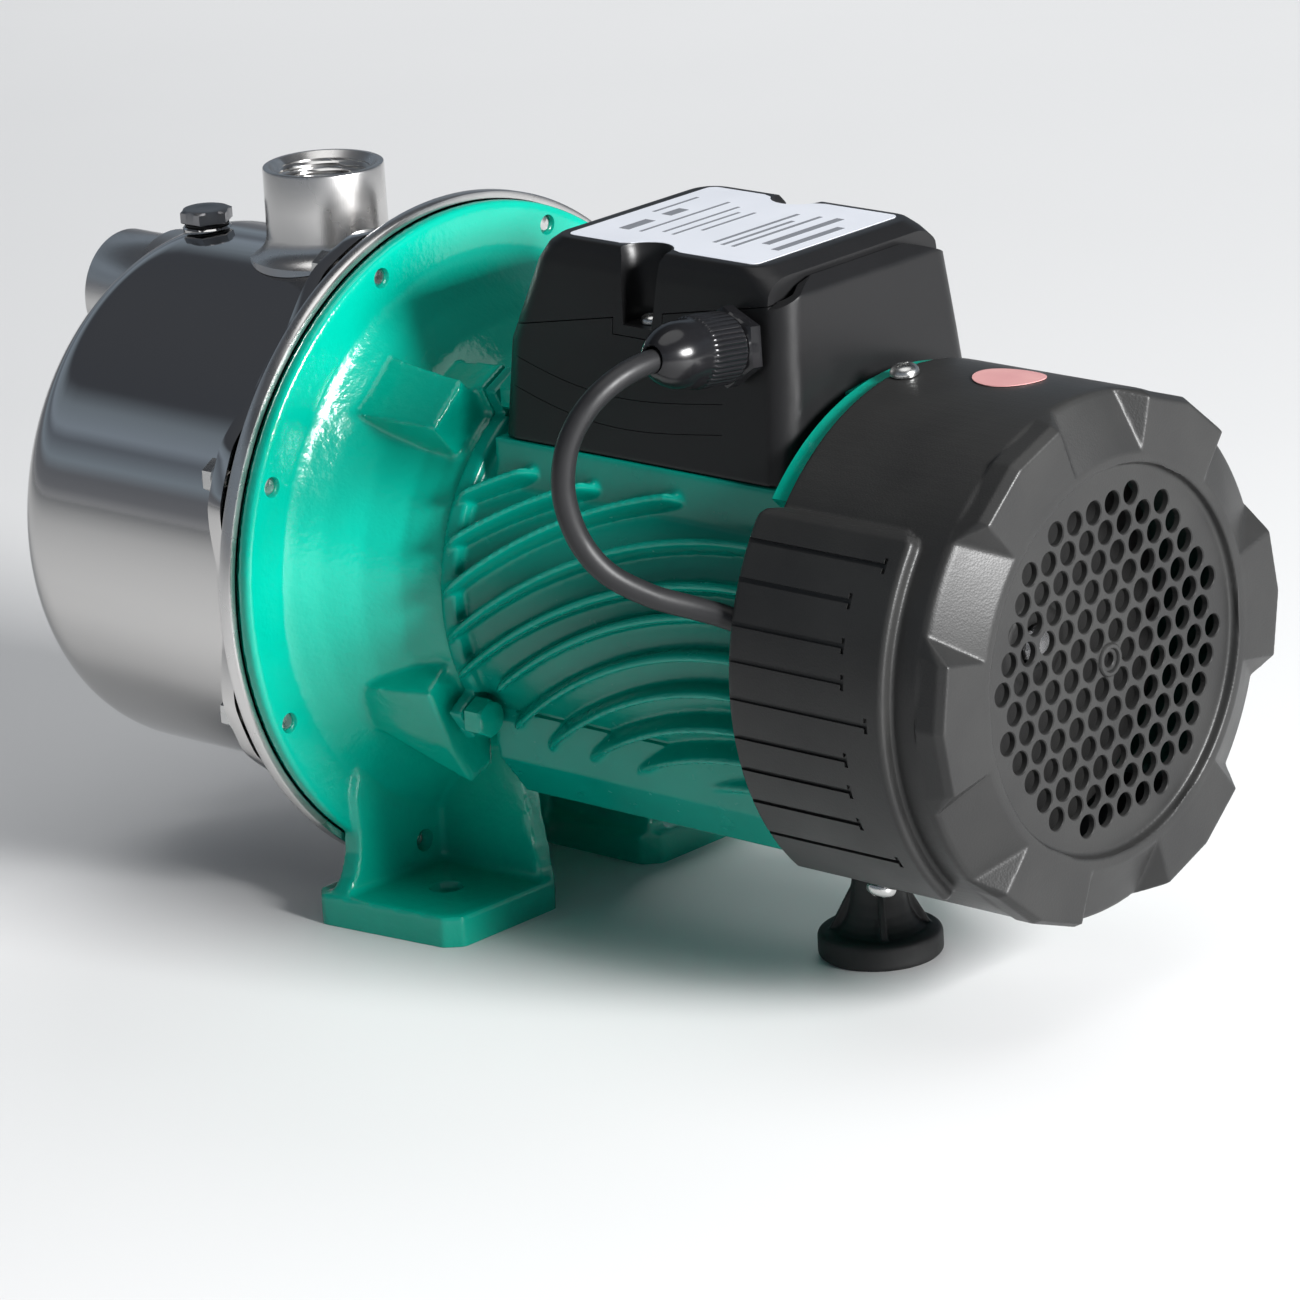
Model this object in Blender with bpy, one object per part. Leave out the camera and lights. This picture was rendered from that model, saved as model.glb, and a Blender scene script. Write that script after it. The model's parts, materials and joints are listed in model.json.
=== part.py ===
"""Shallow well jet pump: every separate piece as its own named object, at rest.

World frame in metres: +X runs from the suction end to the motor's fan cover, the cable gland is
on the -Y side, +Z is up and the feet stand on z = 0. The working numbers below are millimetres.
Their x starts at the rear face of the steel casing flange; START moves the middle of the pump's
length onto x = 0.
"""

import math

import bmesh
import bpy
from mathutils import Matrix, Vector

MM = 0.001
START = -54.15
GAP = 0.3
AXIS_Z = 108.0

# Pump casing
TANK_R = 83.8
SHEET = 2.0
DOME_START = -99.0
DOME_END = -124.0
DOME_POWER = 4.25
FLANGE_R = 106.0
PORT_R = 19.0
PORT_BORE = 15.2
OUTLET_X = -53.6
OUTLET_TOP = 218.8
SUCTION_END = -147.0
SUCTION_Z = AXIS_Z + 58.7
PRIMING_X = -107.5
DRAIN_Z = AXIS_Z - 60.0
SCREW_COUNT = 8
SCREW_CIRCLE = 97.4

# Bracket and feet
DISC_R = 103.5
DISC_BACK = 5.5
NECK_R = 61.0
NECK_END = 45.0
FOOT_X = (-6.8, 50.0)
FOOT_Y = (20.0, 75.0)
FOOT_THICK = 10.0
FOOT_HOLE = (27.0, 49.0)

# Motor
BARREL_R = 58.5
BARREL_BORE = 55.0
BARREL_X = (45.3, 172.0)
FIN_R = 66.5
FIN_THICK = 2.6
BASE_HALF = 35.0
BASE_Z = 41.5
SADDLE_X = (57.0, 171.0)
SADDLE_HALF = 46.0
SADDLE_Z = 157.5
# Each fin: angle at the rear end, how far it twists forward of that, first x, last x
FINS = (
    (119.5, 31.0, 47.0, 77.0),
    (127.3, 36.2, 47.0, 101.0),
    (134.6, 42.4, 47.0, 135.0),
    (148.0, 42.0, 47.0, 168.0),
    (159.5, 42.5, 48.0, 168.0),
    (167.5, 47.5, 55.5, 168.0),
    (178.0, 52.0, 54.0, 168.0),
    (188.0, 57.0, 63.0, 168.0),
    (198.5, 61.0, 79.0, 168.0),
    (209.0, 66.0, 95.0, 168.0),
    (221.0, 70.0, 110.0, 168.0),
)

# Fan cover
COVER_R = 78.6
COVER_WALL = 2.4
COVER_X = (183.0, 255.3)
RECESS_R = 58.0
SCOOP_R = 83.0
SCOOP_X = (178.0, 236.0)
SCOOP_ANGLES = (140.0, 229.0)
GRILLE_PITCH = 8.76
GRILLE_HOLE_R = 3.9
HUB_R = 7.8
LUG_COUNT = 6
LUG_HALF_ANGLE = 12.5

# Terminal box: height, front x, rear x, half width
BOX_LEVELS = (
    (157.8, 57.0, 171.5, 45.0),
    (187.0, 58.0, 170.0, 41.4),
    (212.5, 69.0, 168.3, 38.0),
    (219.0, 74.0, 159.5, 35.6),
    (221.5, 77.0, 155.5, 33.4),
)
BOX_CORNER = 7.0
BOX_WALL = 2.6
PART_FRONT = (57.0, 191.0)
PART_REAR = (160.0, 209.5)
LID_SCREW = (112.0, 33.2)
GLAND = (152.0, -41.2, 198.0)
GLAND_TILT = math.radians(7.0)

# Rear foot
REAR_FOOT_X = 160.0
REAR_FOOT_R = 19.0

# Cord
CORD_R = 3.5
COIL_CENTRE = (40.0, 168.0)
COIL_MEAN_R = 38.0
COIL_HALF = 8.0
CORD_ROUTE = (
    (152.0, -34.0, 197.0),
    (152.0, -50.0, 199.1),
    (152.0, -66.0, 201.1),
    (152.0, -80.0, 202.8),
    (151.0, -92.0, 202.6),
    (147.5, -101.0, 197.5),
    (143.8, -106.0, 188.5),
    (142.0, -107.5, 178.0),
    (141.6, -107.0, 166.0),
    (144.0, -104.0, 153.5),
    (149.5, -99.0, 143.5),
    (158.0, -90.5, 136.0),
    (166.0, -82.0, 131.6),
    (173.5, -75.3, 128.2),
    (181.0, -71.8, 124.8),
    (188.5, -71.0, 120.6),
    (196.0, -71.6, 115.4),
    (202.5, -72.6, 109.0),
    (206.0, -72.6, 100.0),
    (206.5, -71.8, 90.5),
    (206.0, -67.8, 80.0),
    (205.5, -62.0, 70.5),
    (205.0, -54.6, 62.0),
    (204.5, -45.4, 54.0),
    (204.0, -35.0, 47.3),
    (203.0, -24.0, 42.5),
    (201.0, -12.5, 39.2),
    (197.0, -1.5, 37.2),
    (190.5, 8.5, 36.8),
    (182.0, 17.5, 37.6),
    (172.0, 25.5, 38.2),
    (162.0, 33.0, 35.4),
    (152.5, 40.5, 29.8),
    (143.5, 48.0, 22.0),
    (134.5, 56.0, 13.5),
    (125.5, 64.5, 7.2),
    (116.0, 74.0, 4.3),
    (107.0, 84.5, 3.6),
    (99.0, 96.5, 3.6),
    (93.0, 110.0, 3.6),
    (90.6, 124.0, 3.6),
    (89.9, 138.0, 3.6),
    (89.8, 153.0, 3.6),
    (89.8, 168.0, 3.6),
)

COLOURS = {
    "stainless": ((0.62, 0.61, 0.6), 1.0, 0.12),
    "green_paint": ((0.0, 0.34, 0.24), 0.0, 0.3),
    "green_enamel": ((0.0, 0.34, 0.24), 0.0, 0.35),
    "black_plastic": ((0.012, 0.012, 0.012), 0.0, 0.45),
    "rubber": ((0.014, 0.014, 0.014), 0.0, 0.7),
    "zinc_steel": ((0.55, 0.55, 0.55), 1.0, 0.3),
    "bearing_steel": ((0.5, 0.5, 0.5), 1.0, 0.2),
    "laminations": ((0.25, 0.25, 0.26), 0.6, 0.5),
    "copper_winding": ((0.45, 0.18, 0.07), 0.3, 0.4),
    "engineering_plastic": ((0.3, 0.3, 0.28), 0.0, 0.5),
    "brass": ((0.7, 0.5, 0.2), 1.0, 0.3),
    "label_white": ((0.85, 0.85, 0.83), 0.0, 0.5),
    "sticker_pink": ((0.75, 0.38, 0.38), 0.0, 0.5),
    "ceramic": ((0.8, 0.78, 0.72), 0.0, 0.3),
    "capacitor_case": ((0.7, 0.7, 0.68), 0.0, 0.4),
    "cord_black": ((0.02, 0.02, 0.02), 0.0, 0.5),
}


def clear_scene():
    for obj in list(bpy.data.objects):
        bpy.data.objects.remove(obj, do_unlink=True)


def material(name):
    found = bpy.data.materials.get(name)
    if found:
        return found
    colour, metallic, roughness = COLOURS[name]
    made = bpy.data.materials.new(name)
    made.use_nodes = True
    shader = made.node_tree.nodes["Principled BSDF"]
    shader.inputs["Base Color"].default_value = (*colour, 1.0)
    shader.inputs["Metallic"].default_value = metallic
    shader.inputs["Roughness"].default_value = roughness
    return made


def finish(name, bm, slot, origin=(0.0, 0.0, 0.0), smooth=True):
    """Makes an object of a mesh given in working millimetres, with its origin at a working point."""
    bmesh.ops.recalc_face_normals(bm, faces=bm.faces)
    bmesh.ops.translate(bm, verts=bm.verts, vec=-Vector(origin))
    bmesh.ops.scale(bm, verts=bm.verts, vec=(MM, MM, MM))
    mesh = bpy.data.meshes.new(name)
    bm.to_mesh(mesh)
    bm.free()
    mesh.materials.append(material(slot))
    for face in mesh.polygons:
        face.use_smooth = smooth
    if smooth:
        mesh.set_sharp_from_angle(angle=math.radians(35))
    obj = bpy.data.objects.new(name, mesh)
    obj.location = (Vector(origin) + Vector((START, 0.0, 0.0))) * MM
    bpy.context.scene.collection.objects.link(obj)
    return obj


def cutter(name, bm):
    obj = finish(name, bm, "rubber", smooth=False)
    obj.hide_render = True
    obj.display_type = "WIRE"
    return obj


def boolean(obj, tool, operation="DIFFERENCE"):
    modifier = obj.modifiers.new(operation.lower(), "BOOLEAN")
    modifier.operation = operation
    modifier.solver = "EXACT"
    modifier.object = tool
    return obj


def bevel(obj, width, segments=2, angle=35):
    modifier = obj.modifiers.new("edges", "BEVEL")
    modifier.width = width * MM
    modifier.segments = segments
    modifier.limit_method = "ANGLE"
    modifier.angle_limit = math.radians(angle)
    modifier.harden_normals = False
    return obj


def axis_frame(origin, direction):
    """A matrix whose local +X is the direction, for turned pieces."""
    turn = Vector((1.0, 0.0, 0.0)).rotation_difference(Vector(direction).normalized())
    return Matrix.Translation(Vector(origin)) @ turn.to_matrix().to_4x4()


SHAFT = axis_frame((0.0, 0.0, AXIS_Z), (1.0, 0.0, 0.0))


def radius_at(point, turn):
    """A third number in a profile point makes that ring a polygon of so many flat sides."""
    if len(point) < 3 or point[1] == 0.0:
        return point[1]
    half = math.pi / point[2]
    return point[1] / math.cos((turn + half) % (2 * half) - half)


def turned(profile, steps, frame=SHAFT, bm=None, closed=True, start=0.0):
    """A turned solid: profile points are (distance along the axis, radius from it)."""
    bm = bm or bmesh.new()
    rings = []
    for point in profile:
        if point[1] == 0.0:
            rings.append([bm.verts.new(frame @ Vector((point[0], 0.0, 0.0)))])
            continue
        ring = []
        for step in range(steps):
            turn = start + 2 * math.pi * step / steps
            r = radius_at(point, turn)
            where = Vector((point[0], r * math.cos(turn), r * math.sin(turn)))
            ring.append(bm.verts.new(frame @ where))
        rings.append(ring)
    pairs = list(zip(rings, rings[1:]))
    if closed:
        pairs.append((rings[-1], rings[0]))
    for one, two in pairs:
        if len(one) == 1 and len(two) == 1:
            continue
        for step in range(steps):
            after = (step + 1) % steps
            corners = [one[step % len(one)], one[after % len(one)]]
            corners += [two[after % len(two)], two[step % len(two)]]
            bm.faces.new(list(dict.fromkeys(corners)))
    return bm


def prism(outline, low, high, place, bm=None):
    """A flat outline pushed from low to high; place turns (u, v, w) into working x, y, z."""
    bm = bm or bmesh.new()
    bottom = [bm.verts.new(place(u, v, low)) for u, v in outline]
    top = [bm.verts.new(place(u, v, high)) for u, v in outline]
    bm.faces.new(bottom)
    bm.faces.new(top)
    for i, corner in enumerate(bottom):
        j = (i + 1) % len(bottom)
        bm.faces.new((corner, bottom[j], top[j], top[i]))
    return bm


def across_x(u, v, w):
    return Vector((w, u, v))


def across_y(u, v, w):
    return Vector((u, w, v))


def across_z(u, v, w):
    return Vector((u, v, w))


def block(x, y, z, bm=None):
    outline = ((x[0], y[0]), (x[1], y[0]), (x[1], y[1]), (x[0], y[1]))
    return prism(outline, z[0], z[1], across_z, bm)


def hull(points, bm=None):
    bm = bm or bmesh.new()
    verts = [bm.verts.new(Vector(point)) for point in points]
    bmesh.ops.convex_hull(bm, input=verts)
    return bm


def polar(r, degrees, x=0.0):
    turn = math.radians(degrees)
    return Vector((x, r * math.cos(turn), AXIS_Z + r * math.sin(turn)))


def radial_block(degrees, front, back, bm=None):
    """A block standing out from the shaft axis: front and back are (x, r low, r high, half width)."""
    turn = math.radians(degrees)
    out = Vector((0.0, math.cos(turn), math.sin(turn)))
    side = Vector((0.0, -math.sin(turn), math.cos(turn)))
    centre = Vector((0.0, 0.0, AXIS_Z))
    points = []
    for x, low, high, half in (front, back):
        for r in (low, high):
            for offset in (-half, half):
                points.append(centre + Vector((x, 0.0, 0.0)) + out * r + side * offset)
    return hull(points, bm)


def sector(r_low, r_high, x, angles, steps, bm=None):
    """Part of a ring about the shaft axis."""
    span = [angles[0] + (angles[1] - angles[0]) * i / steps for i in range(steps + 1)]
    outline = [(polar(r_high, a).y, polar(r_high, a).z) for a in span]
    outline += [(polar(r_low, a).y, polar(r_low, a).z) for a in reversed(span)]
    return prism(outline, x[0], x[1], across_x, bm)


def mirrored(angle):
    return 180.0 - angle


def dome_profile(offset, steps):
    """The casing's outside, from the middle of its domed end to the start of its straight wall."""
    points = []
    for step in range(steps + 1):
        turn = math.radians(90.0 * step / steps)
        reach = math.cos(turn) ** (2 / DOME_POWER)
        x = DOME_START + (DOME_END - offset - DOME_START) * reach
        r = (TANK_R + offset) * math.sin(turn) ** (2 / DOME_POWER)
        points.append((x, 0.0 if step == 0 else r))
    return points


def tank_solid(offset, back):
    return turned(dome_profile(offset, 6) + [(back, TANK_R + offset), (back, 0.0)], 36)


def make_casing():
    outer = dome_profile(0.0, 6)
    inner = list(reversed(dome_profile(-SHEET, 3)))
    flange = [(-6.5, TANK_R), (-3.0, 84.8), (-2.2, 87.0), (-2.2, 101.5), (-4.3, 102.5)]
    flange += [(-4.3, FLANGE_R), (0.0, FLANGE_R), (0.0, 84.5)]
    flange += [(-3.0, TANK_R - SHEET)]
    casing = finish("pump_casing", turned(outer + flange + inner, 36), "stainless")
    priming_boss = turned(
        [(185.0, 0.0), (185.0, 7.8), (192.3, 7.8), (192.3, 0.0)],
        20,
        axis_frame((PRIMING_X, 0.0, 0.0), (0.0, 0.0, 1.0)),
    )
    drain_boss = turned(
        [(-125.0, 0.0), (-125.0, 9.5), (-113.0, 9.5), (-113.0, 0.0)],
        20,
        axis_frame((0.0, 0.0, DRAIN_Z), (1.0, 0.0, 0.0)),
    )
    boolean(casing, cutter("casing_priming_boss", priming_boss), "UNION")
    boolean(casing, cutter("casing_drain_boss", drain_boss), "UNION")
    holes = bmesh.new()
    upright = ((OUTLET_X, 17.0, 170.0, 20), (PRIMING_X, 5.5, 170.0, 12))
    for x, r, low, steps in upright:
        frame = axis_frame((x, 0.0, 0.0), (0.0, 0.0, 1.0))
        turned([(low, 0.0), (low, r), (200.0, r), (200.0, 0.0)], steps, frame, holes)
    level = ((SUCTION_Z, 16.5, -114.3, 20), (DRAIN_Z, 5.3, -108.0, 12))
    for z, r, end, steps in level:
        frame = axis_frame((0.0, 0.0, z), (1.0, 0.0, 0.0))
        turned([(-132.0, 0.0), (-132.0, r), (end, r), (end, 0.0)], steps, frame, holes)
    for index in range(SCREW_COUNT):
        screw_hole(holes, index, 3.5, (-8.0, 3.0))
    boolean(casing, cutter("casing_holes", holes))


def screw_hole(bm, index, r, x):
    centre = polar(SCREW_CIRCLE, 22.5 + 45.0 * index)
    frame = axis_frame(centre, (1.0, 0.0, 0.0))
    turned([(x[0], 0.0), (x[0], r), (x[1], r), (x[1], 0.0)], 6, frame, bm)


def make_ports():
    up = axis_frame((OUTLET_X, 0.0, 0.0), (0.0, 0.0, 1.0))
    profile = [(OUTLET_TOP, PORT_BORE + 1.4), (OUTLET_TOP, PORT_R), (197.0, PORT_R + 0.3)]
    profile += [(194.5, PORT_R + 1.0), (192.0, 22.5), (190.0, 25.5), (184.0, 26.5)]
    profile += [(184.0, PORT_BORE), (OUTLET_TOP - 1.4, PORT_BORE)]
    outlet = finish("outlet_socket", turned(profile, 24, up), "stainless")
    boolean(outlet, cutter("outlet_foot", tank_solid(GAP, -10.0)))
    along = axis_frame((0.0, 0.0, SUCTION_Z), (1.0, 0.0, 0.0))
    profile = [(SUCTION_END, PORT_BORE + 1.4), (SUCTION_END, PORT_R - 0.6), (-146.4, PORT_R)]
    profile += [(-108.0, PORT_R), (-108.0, PORT_BORE), (SUCTION_END + 1.4, PORT_BORE)]
    suction = finish("suction_socket", turned(profile, 24, along), "stainless")
    boolean(suction, cutter("suction_foot", tank_solid(GAP, -60.0)))


def make_plugs():
    up = axis_frame((PRIMING_X, 0.0, 0.0), (0.0, 0.0, 1.0))
    seal = [(192.6, 5.5), (192.6, 7.1), (193.3, 7.1), (193.3, 5.5)]
    finish("priming_plug_seal", turned(seal, 16, up), "rubber")
    head = 7.4
    plug = [(183.0, 0.0), (183.0, 4.5), (184.0, 5.1), (193.6, 5.1), (193.6, head - 0.4, 6)]
    plug += [(194.0, head, 6), (197.3, head, 6), (197.8, head - 0.8, 12), (197.8, 0.0)]
    origin = (PRIMING_X, 0.0, 192.3)
    finish("priming_plug", turned(plug, 18, up), "stainless", origin)
    along = axis_frame((0.0, 0.0, DRAIN_Z), (-1.0, 0.0, 0.0))
    seal = [(125.3, 5.4), (125.3, 8.6), (126.3, 8.6), (126.3, 5.4)]
    finish("drain_plug_seal", turned(seal, 16, along), "rubber")
    plug = [(113.0, 0.0), (113.0, 4.5), (114.0, 5.0), (126.6, 5.0), (126.6, 8.2, 6)]
    plug += [(127.0, 8.5, 6), (131.4, 8.5, 6), (132.0, 7.8, 12), (132.0, 0.0)]
    origin = (-125.0, 0.0, DRAIN_Z)
    finish("drain_plug", turned(plug, 18, along), "stainless", origin)


def make_clamp_ring():
    outline = []
    for step in range(32):
        angle = 11.25 * step
        wave = math.cos(math.radians(SCREW_COUNT * (angle - 22.5)))
        r = 101.6 + 3.4 * max(-0.8, min(1.0, wave * 1.3))
        outline.append((polar(r, angle).y, polar(r, angle).z))
    ring = finish("casing_clamp_ring", prism(outline, -12.4, -7.2, across_x), "stainless")
    hub = turned([(-12.0, 80.0), (-12.0, 93.0), (-2.5, 93.0), (-2.5, 80.0)], 36)
    boolean(ring, cutter("clamp_hub", hub), "UNION")
    bore = turned([(-20.0, 0.0), (-20.0, 84.2), (-7.0, 84.2), (-1.0, 88.0), (-1.0, 0.0)], 36)
    for index in range(SCREW_COUNT):
        screw_hole(bore, index, 3.5, (-21.0, -5.0))
    boolean(ring, cutter("clamp_bore", bore))
    for index in range(SCREW_COUNT):
        centre = polar(SCREW_CIRCLE, 22.5 + 45.0 * index)
        frame = axis_frame(centre, (1.0, 0.0, 0.0))
        profile = [(-20.0, 0.0), (-20.0, 5.0, 6), (-14.6, 5.0, 6), (-14.2, 6.6), (-12.7, 6.6)]
        profile += [(-12.7, 2.9), (4.2, 2.9), (4.2, 0.0)]
        screw = turned(profile, 6, frame)
        finish("casing_screw_%d" % (index + 1), screw, "zinc_steel", tuple(centre))


def make_hydraulics():
    section = []
    for step in range(6):
        turn = math.radians(60.0 * step)
        section.append((-3.1 + 1.55 * math.cos(turn), 79.9 + 1.55 * math.sin(turn)))
    finish("casing_seal", turned(section, 28), "rubber")

    hub = [(-33.5, 13.8), (-33.5, 16.0), (-30.0, 17.0), (-28.0, 60.0), (-26.2, 60.0)]
    hub += [(-27.8, 15.0), (-27.8, 13.8)]
    wheel = turned(hub, 20)
    disc = [(-30.0, 6.3), (-30.0, 9.5), (-22.0, 12.5), (-20.2, 60.0), (-18.2, 60.0)]
    disc += [(-17.0, 12.0), (-14.2, 10.5), (-14.2, 6.3)]
    impeller = finish("impeller", wheel, "brass", (-14.2, 0.0, AXIS_Z))
    boolean(impeller, cutter("impeller_vanes", impeller_vanes()), "UNION")
    boolean(impeller, cutter("impeller_disc", turned(disc, 20)), "UNION")

    nut = [(-36.8, 4.3), (-36.8, 6.6, 6), (-30.8, 6.6, 6), (-30.8, 4.3)]
    finish("impeller_nut", turned(nut, 12), "zinc_steel", (-30.8, 0.0, AXIS_Z))

    case = [(-52.0, 10.0), (-52.0, 13.2), (-39.0, 13.2), (-37.5, 20.0), (-36.0, 66.0)]
    case += [(-34.0, 68.5), (-12.0, 68.5), (-12.0, 65.5), (-34.5, 64.0), (-35.2, 18.5)]
    case += [(-35.2, 12.5), (-38.5, 10.0)]
    diffuser = finish("diffuser", turned(case, 24), "engineering_plastic")
    slots = bmesh.new()
    for index in range(6):
        radial_block(60.0 * index, (-30.0, 60.0, 75.0, 12.0), (-16.0, 60.0, 75.0, 12.0), slots)
    boolean(diffuser, cutter("diffuser_slots", slots))

    tube = [(-52.3, 9.6), (-52.3, 13.0), (-88.0, 8.6), (-96.0, 8.6), (-101.0, 12.5)]
    tube += [(-101.0, 10.5), (-95.0, 5.5), (-88.0, 5.5)]
    finish("venturi_tube", turned(tube, 16), "engineering_plastic")
    make_nozzle()


def loft(rings, bm):
    """Joins rings of corners, each in the same order, into one closed piece."""
    for one, two in zip(rings, rings[1:]):
        for i in range(len(one)):
            j = (i + 1) % len(one)
            bm.faces.new((one[i], one[j], two[j], two[i]))
    bm.faces.new(rings[0])
    bm.faces.new(rings[-1])
    return bm


def impeller_vanes():
    vanes = bmesh.new()
    for index in range(6):
        rings = []
        for part in range(4):
            r = 15.5 + 14.5 * part
            angle = 60.0 * index - 20.0 * part
            spread = math.degrees(1.0 / r)
            front = -29.0 + 1.6 * part / 3
            corners = ((front, -spread), (front, spread), (-19.2, spread), (-19.2, -spread))
            rings.append([vanes.verts.new(polar(r, angle + side, x)) for x, side in corners])
        loft(rings, vanes)
    return vanes


def make_nozzle():
    """The suction chamber: a standing duct from the suction hole down to the nozzle's cone."""
    duct = block((-114.5, -103.5), (-17.0, 17.0), (AXIS_Z - 16.0, SUCTION_Z + 14.5))
    chamber = finish("jet_nozzle", duct, "engineering_plastic")
    cone = turned([(-104.5, 0.0), (-104.5, 9.5), (-98.0, 5.2), (-98.0, 0.0)], 20)
    boolean(chamber, cutter("nozzle_cone", cone), "UNION")
    inside = block((-112.5, -105.5), (-14.5, 14.5), (AXIS_Z - 13.5, SUCTION_Z + 12.5))
    boolean(chamber, cutter("nozzle_inside", inside))
    bores = turned([(-107.0, 0.0), (-107.0, 6.5), (-97.0, 2.9), (-97.0, 0.0)], 20)
    frame = axis_frame((0.0, 0.0, SUCTION_Z), (1.0, 0.0, 0.0))
    turned([(-119.0, 0.0), (-119.0, 12.0), (-111.0, 12.0), (-111.0, 0.0)], 20, frame, bores)
    boolean(chamber, cutter("nozzle_bores", bores))


def make_shaft_seal():
    fixed = [(-5.5, 7.9), (-5.5, 10.9), (1.7, 10.9), (1.7, 7.9)]
    finish("seal_stationary", turned(fixed, 16), "ceramic")
    turning = [(-13.9, 7.9), (-13.9, 10.2), (-11.0, 10.6), (-7.6, 10.6), (-5.8, 9.6), (-5.8, 7.9)]
    finish("seal_rotating", turned(turning, 16), "rubber", (-5.8, 0.0, AXIS_Z))


def make_bracket():
    profile = [(-6.0, 11.2), (-6.0, 81.3), (-4.9, 81.3), (-4.9, 78.1), (-1.3, 78.1), (-1.3, 81.3)]
    profile += [(0.3, 81.3), (0.3, DISC_R), (4.4, DISC_R)]
    profile += [(DISC_BACK, DISC_R - 1.1), (DISC_BACK, 90.0), (12.5, 79.0)]
    profile += [(21.0, 70.5), (31.0, 64.0), (NECK_END, NECK_R), (NECK_END, 56.0), (41.0, 56.0)]
    profile += [(41.0, 17.8), (27.7, 17.8), (27.7, 13.0), (24.0, 13.0), (24.0, 21.0)]
    profile += [(35.5, 23.0), (35.5, 51.0), (20.0, 62.0), (7.0, 73.0), (2.0, 72.0), (2.0, 20.0)]
    profile += [(6.0, 14.0), (6.0, 8.4), (2.0, 8.4), (2.0, 11.2)]
    bracket = finish("motor_bracket", turned(profile, 28), "green_paint")

    extras = bmesh.new()
    for index, angle in enumerate((127.0, mirrored(127.0))):
        radial_block(angle, (2.5, 60.0, 87.0, 14.5), (36.0, 56.0, 73.5, 9.0), extras)
    lugs = cutter("bracket_lugs", extras)
    boolean(bracket, lugs, "UNION")
    extras = bmesh.new()
    for index, angle in enumerate((214.0, mirrored(214.0))):
        radial_block(angle, (2.5, 62.0, 93.0, 20.0), (NECK_END, 56.0, 75.0, 12.0), extras)
    boolean(bracket, cutter("bracket_gussets", extras), "UNION")
    extras = bmesh.new()
    for angle in (117.0, mirrored(117.0)):
        radial_block(angle, (22.0, 57.0, 70.0, 7.0), (NECK_END, 57.0, 72.0, 7.0), extras)
    boolean(bracket, cutter("bracket_bosses", extras), "UNION")

    feet = bracket_feet()
    boolean(bracket, feet, "UNION")

    holes = bmesh.new()
    for index in range(SCREW_COUNT):
        screw_hole(holes, index, 3.2, (-1.0, 8.0))
    for angle in HOUSING_BOLTS:
        frame = axis_frame(polar(HOUSING_BOLT_CIRCLE, angle), (1.0, 0.0, 0.0))
        turned([(30.0, 0.0), (30.0, 3.0), (50.0, 3.0), (50.0, 0.0)], 6, frame, holes)
    for side in (-1.0, 1.0):
        frame = axis_frame((FOOT_HOLE[0], side * FOOT_HOLE[1], 0.0), (0.0, 0.0, 1.0))
        turned([(-3.0, 0.0), (-3.0, 5.0), (12.0, 5.0), (12.0, 0.0)], 14, frame, holes)
    boolean(bracket, cutter("bracket_holes", holes))
    room = turned([(-20.0, 81.8), (-20.0, 107.4), (0.2, 107.4), (0.2, 81.8)], 36)
    boolean(bracket, cutter("flange_room", room))


HOUSING_BOLT_CIRCLE = 66.0
HOUSING_BOLTS = (214.0, mirrored(214.0), 117.0, mirrored(117.0))


def bracket_feet():
    """Both feet in one helper: base plate, web under the disc and an upright inner wall each."""
    plates = bmesh.new()
    for side in (-1.0, 1.0):
        y = [side * FOOT_Y[0], side * FOOT_Y[1]]
        cut = 5.0
        outline = [(FOOT_X[0], y[0]), (FOOT_X[1] - cut, y[0]), (FOOT_X[1], y[0] + side * cut)]
        outline += [(FOOT_X[1], y[1] - side * 9.0), (FOOT_X[1] - cut, y[1] - side * 4.5)]
        outline += [(FOOT_X[0] + cut, y[1]), (FOOT_X[0], y[1] - side * cut)]
        prism(outline, 0.0, FOOT_THICK, across_z, plates)
    feet = cutter("bracket_feet", plates)
    webs = bmesh.new()
    for side in (-1.0, 1.0):
        outline = [(24.0, 4.0), (70.5, 4.0), (69.4, 16.0), (69.2, 30.0), (63.4, 62.0)]
        outline += [(24.0, 62.0)]
        prism([(side * u, v) for u, v in outline], 0.6, 7.2, across_x, webs)
    boolean(feet, cutter("foot_webs", webs), "UNION")
    walls = bmesh.new()
    outline = [(0.9, 4.5), (47.0, 4.5), (43.5, 14.0), (41.5, 40.0), (36.0, 58.0), (0.9, 58.0)]
    for side in (-1.0, 1.0):
        low, high = sorted((side * 24.6, side * 30.5))
        prism(outline, low, high, across_y, walls)
    boolean(feet, cutter("foot_walls", walls), "UNION")
    return feet


def fin_angle(rear, twist, x):
    part = (x - 48.0) / 119.0
    return rear + twist * max(0.0, 1.0 - part) ** 2


def fin(rear, twist, first, last, flip, bm):
    """One curved cooling fin, standing on the barrel and running out to nothing at its ends."""
    stations = 5 if last - first > 60.0 else 3
    rings = []
    for index in range(stations + 1):
        part = index / stations
        x = first + (last - first) * part
        angle = fin_angle(rear, twist, x)
        lift = min(1.0, 8.0 * part + 0.45) if last > 160.0 else min(1.0, 6.0 * (1.0 - part) + 0.1)
        top = BARREL_R + (FIN_R - BARREL_R) * lift
        ring = []
        for r, half in ((56.8, FIN_THICK / 2), (top, FIN_THICK / 2 - 0.6)):
            spread = math.degrees(half / r)
            sides = (-spread, spread) if r < 57.0 else (spread, -spread)
            for offset in sides:
                here = angle + offset
                ring.append(bm.verts.new(polar(r, mirrored(here) if flip else here, x)))
        rings.append(ring)
    loft(rings, bm)


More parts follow.
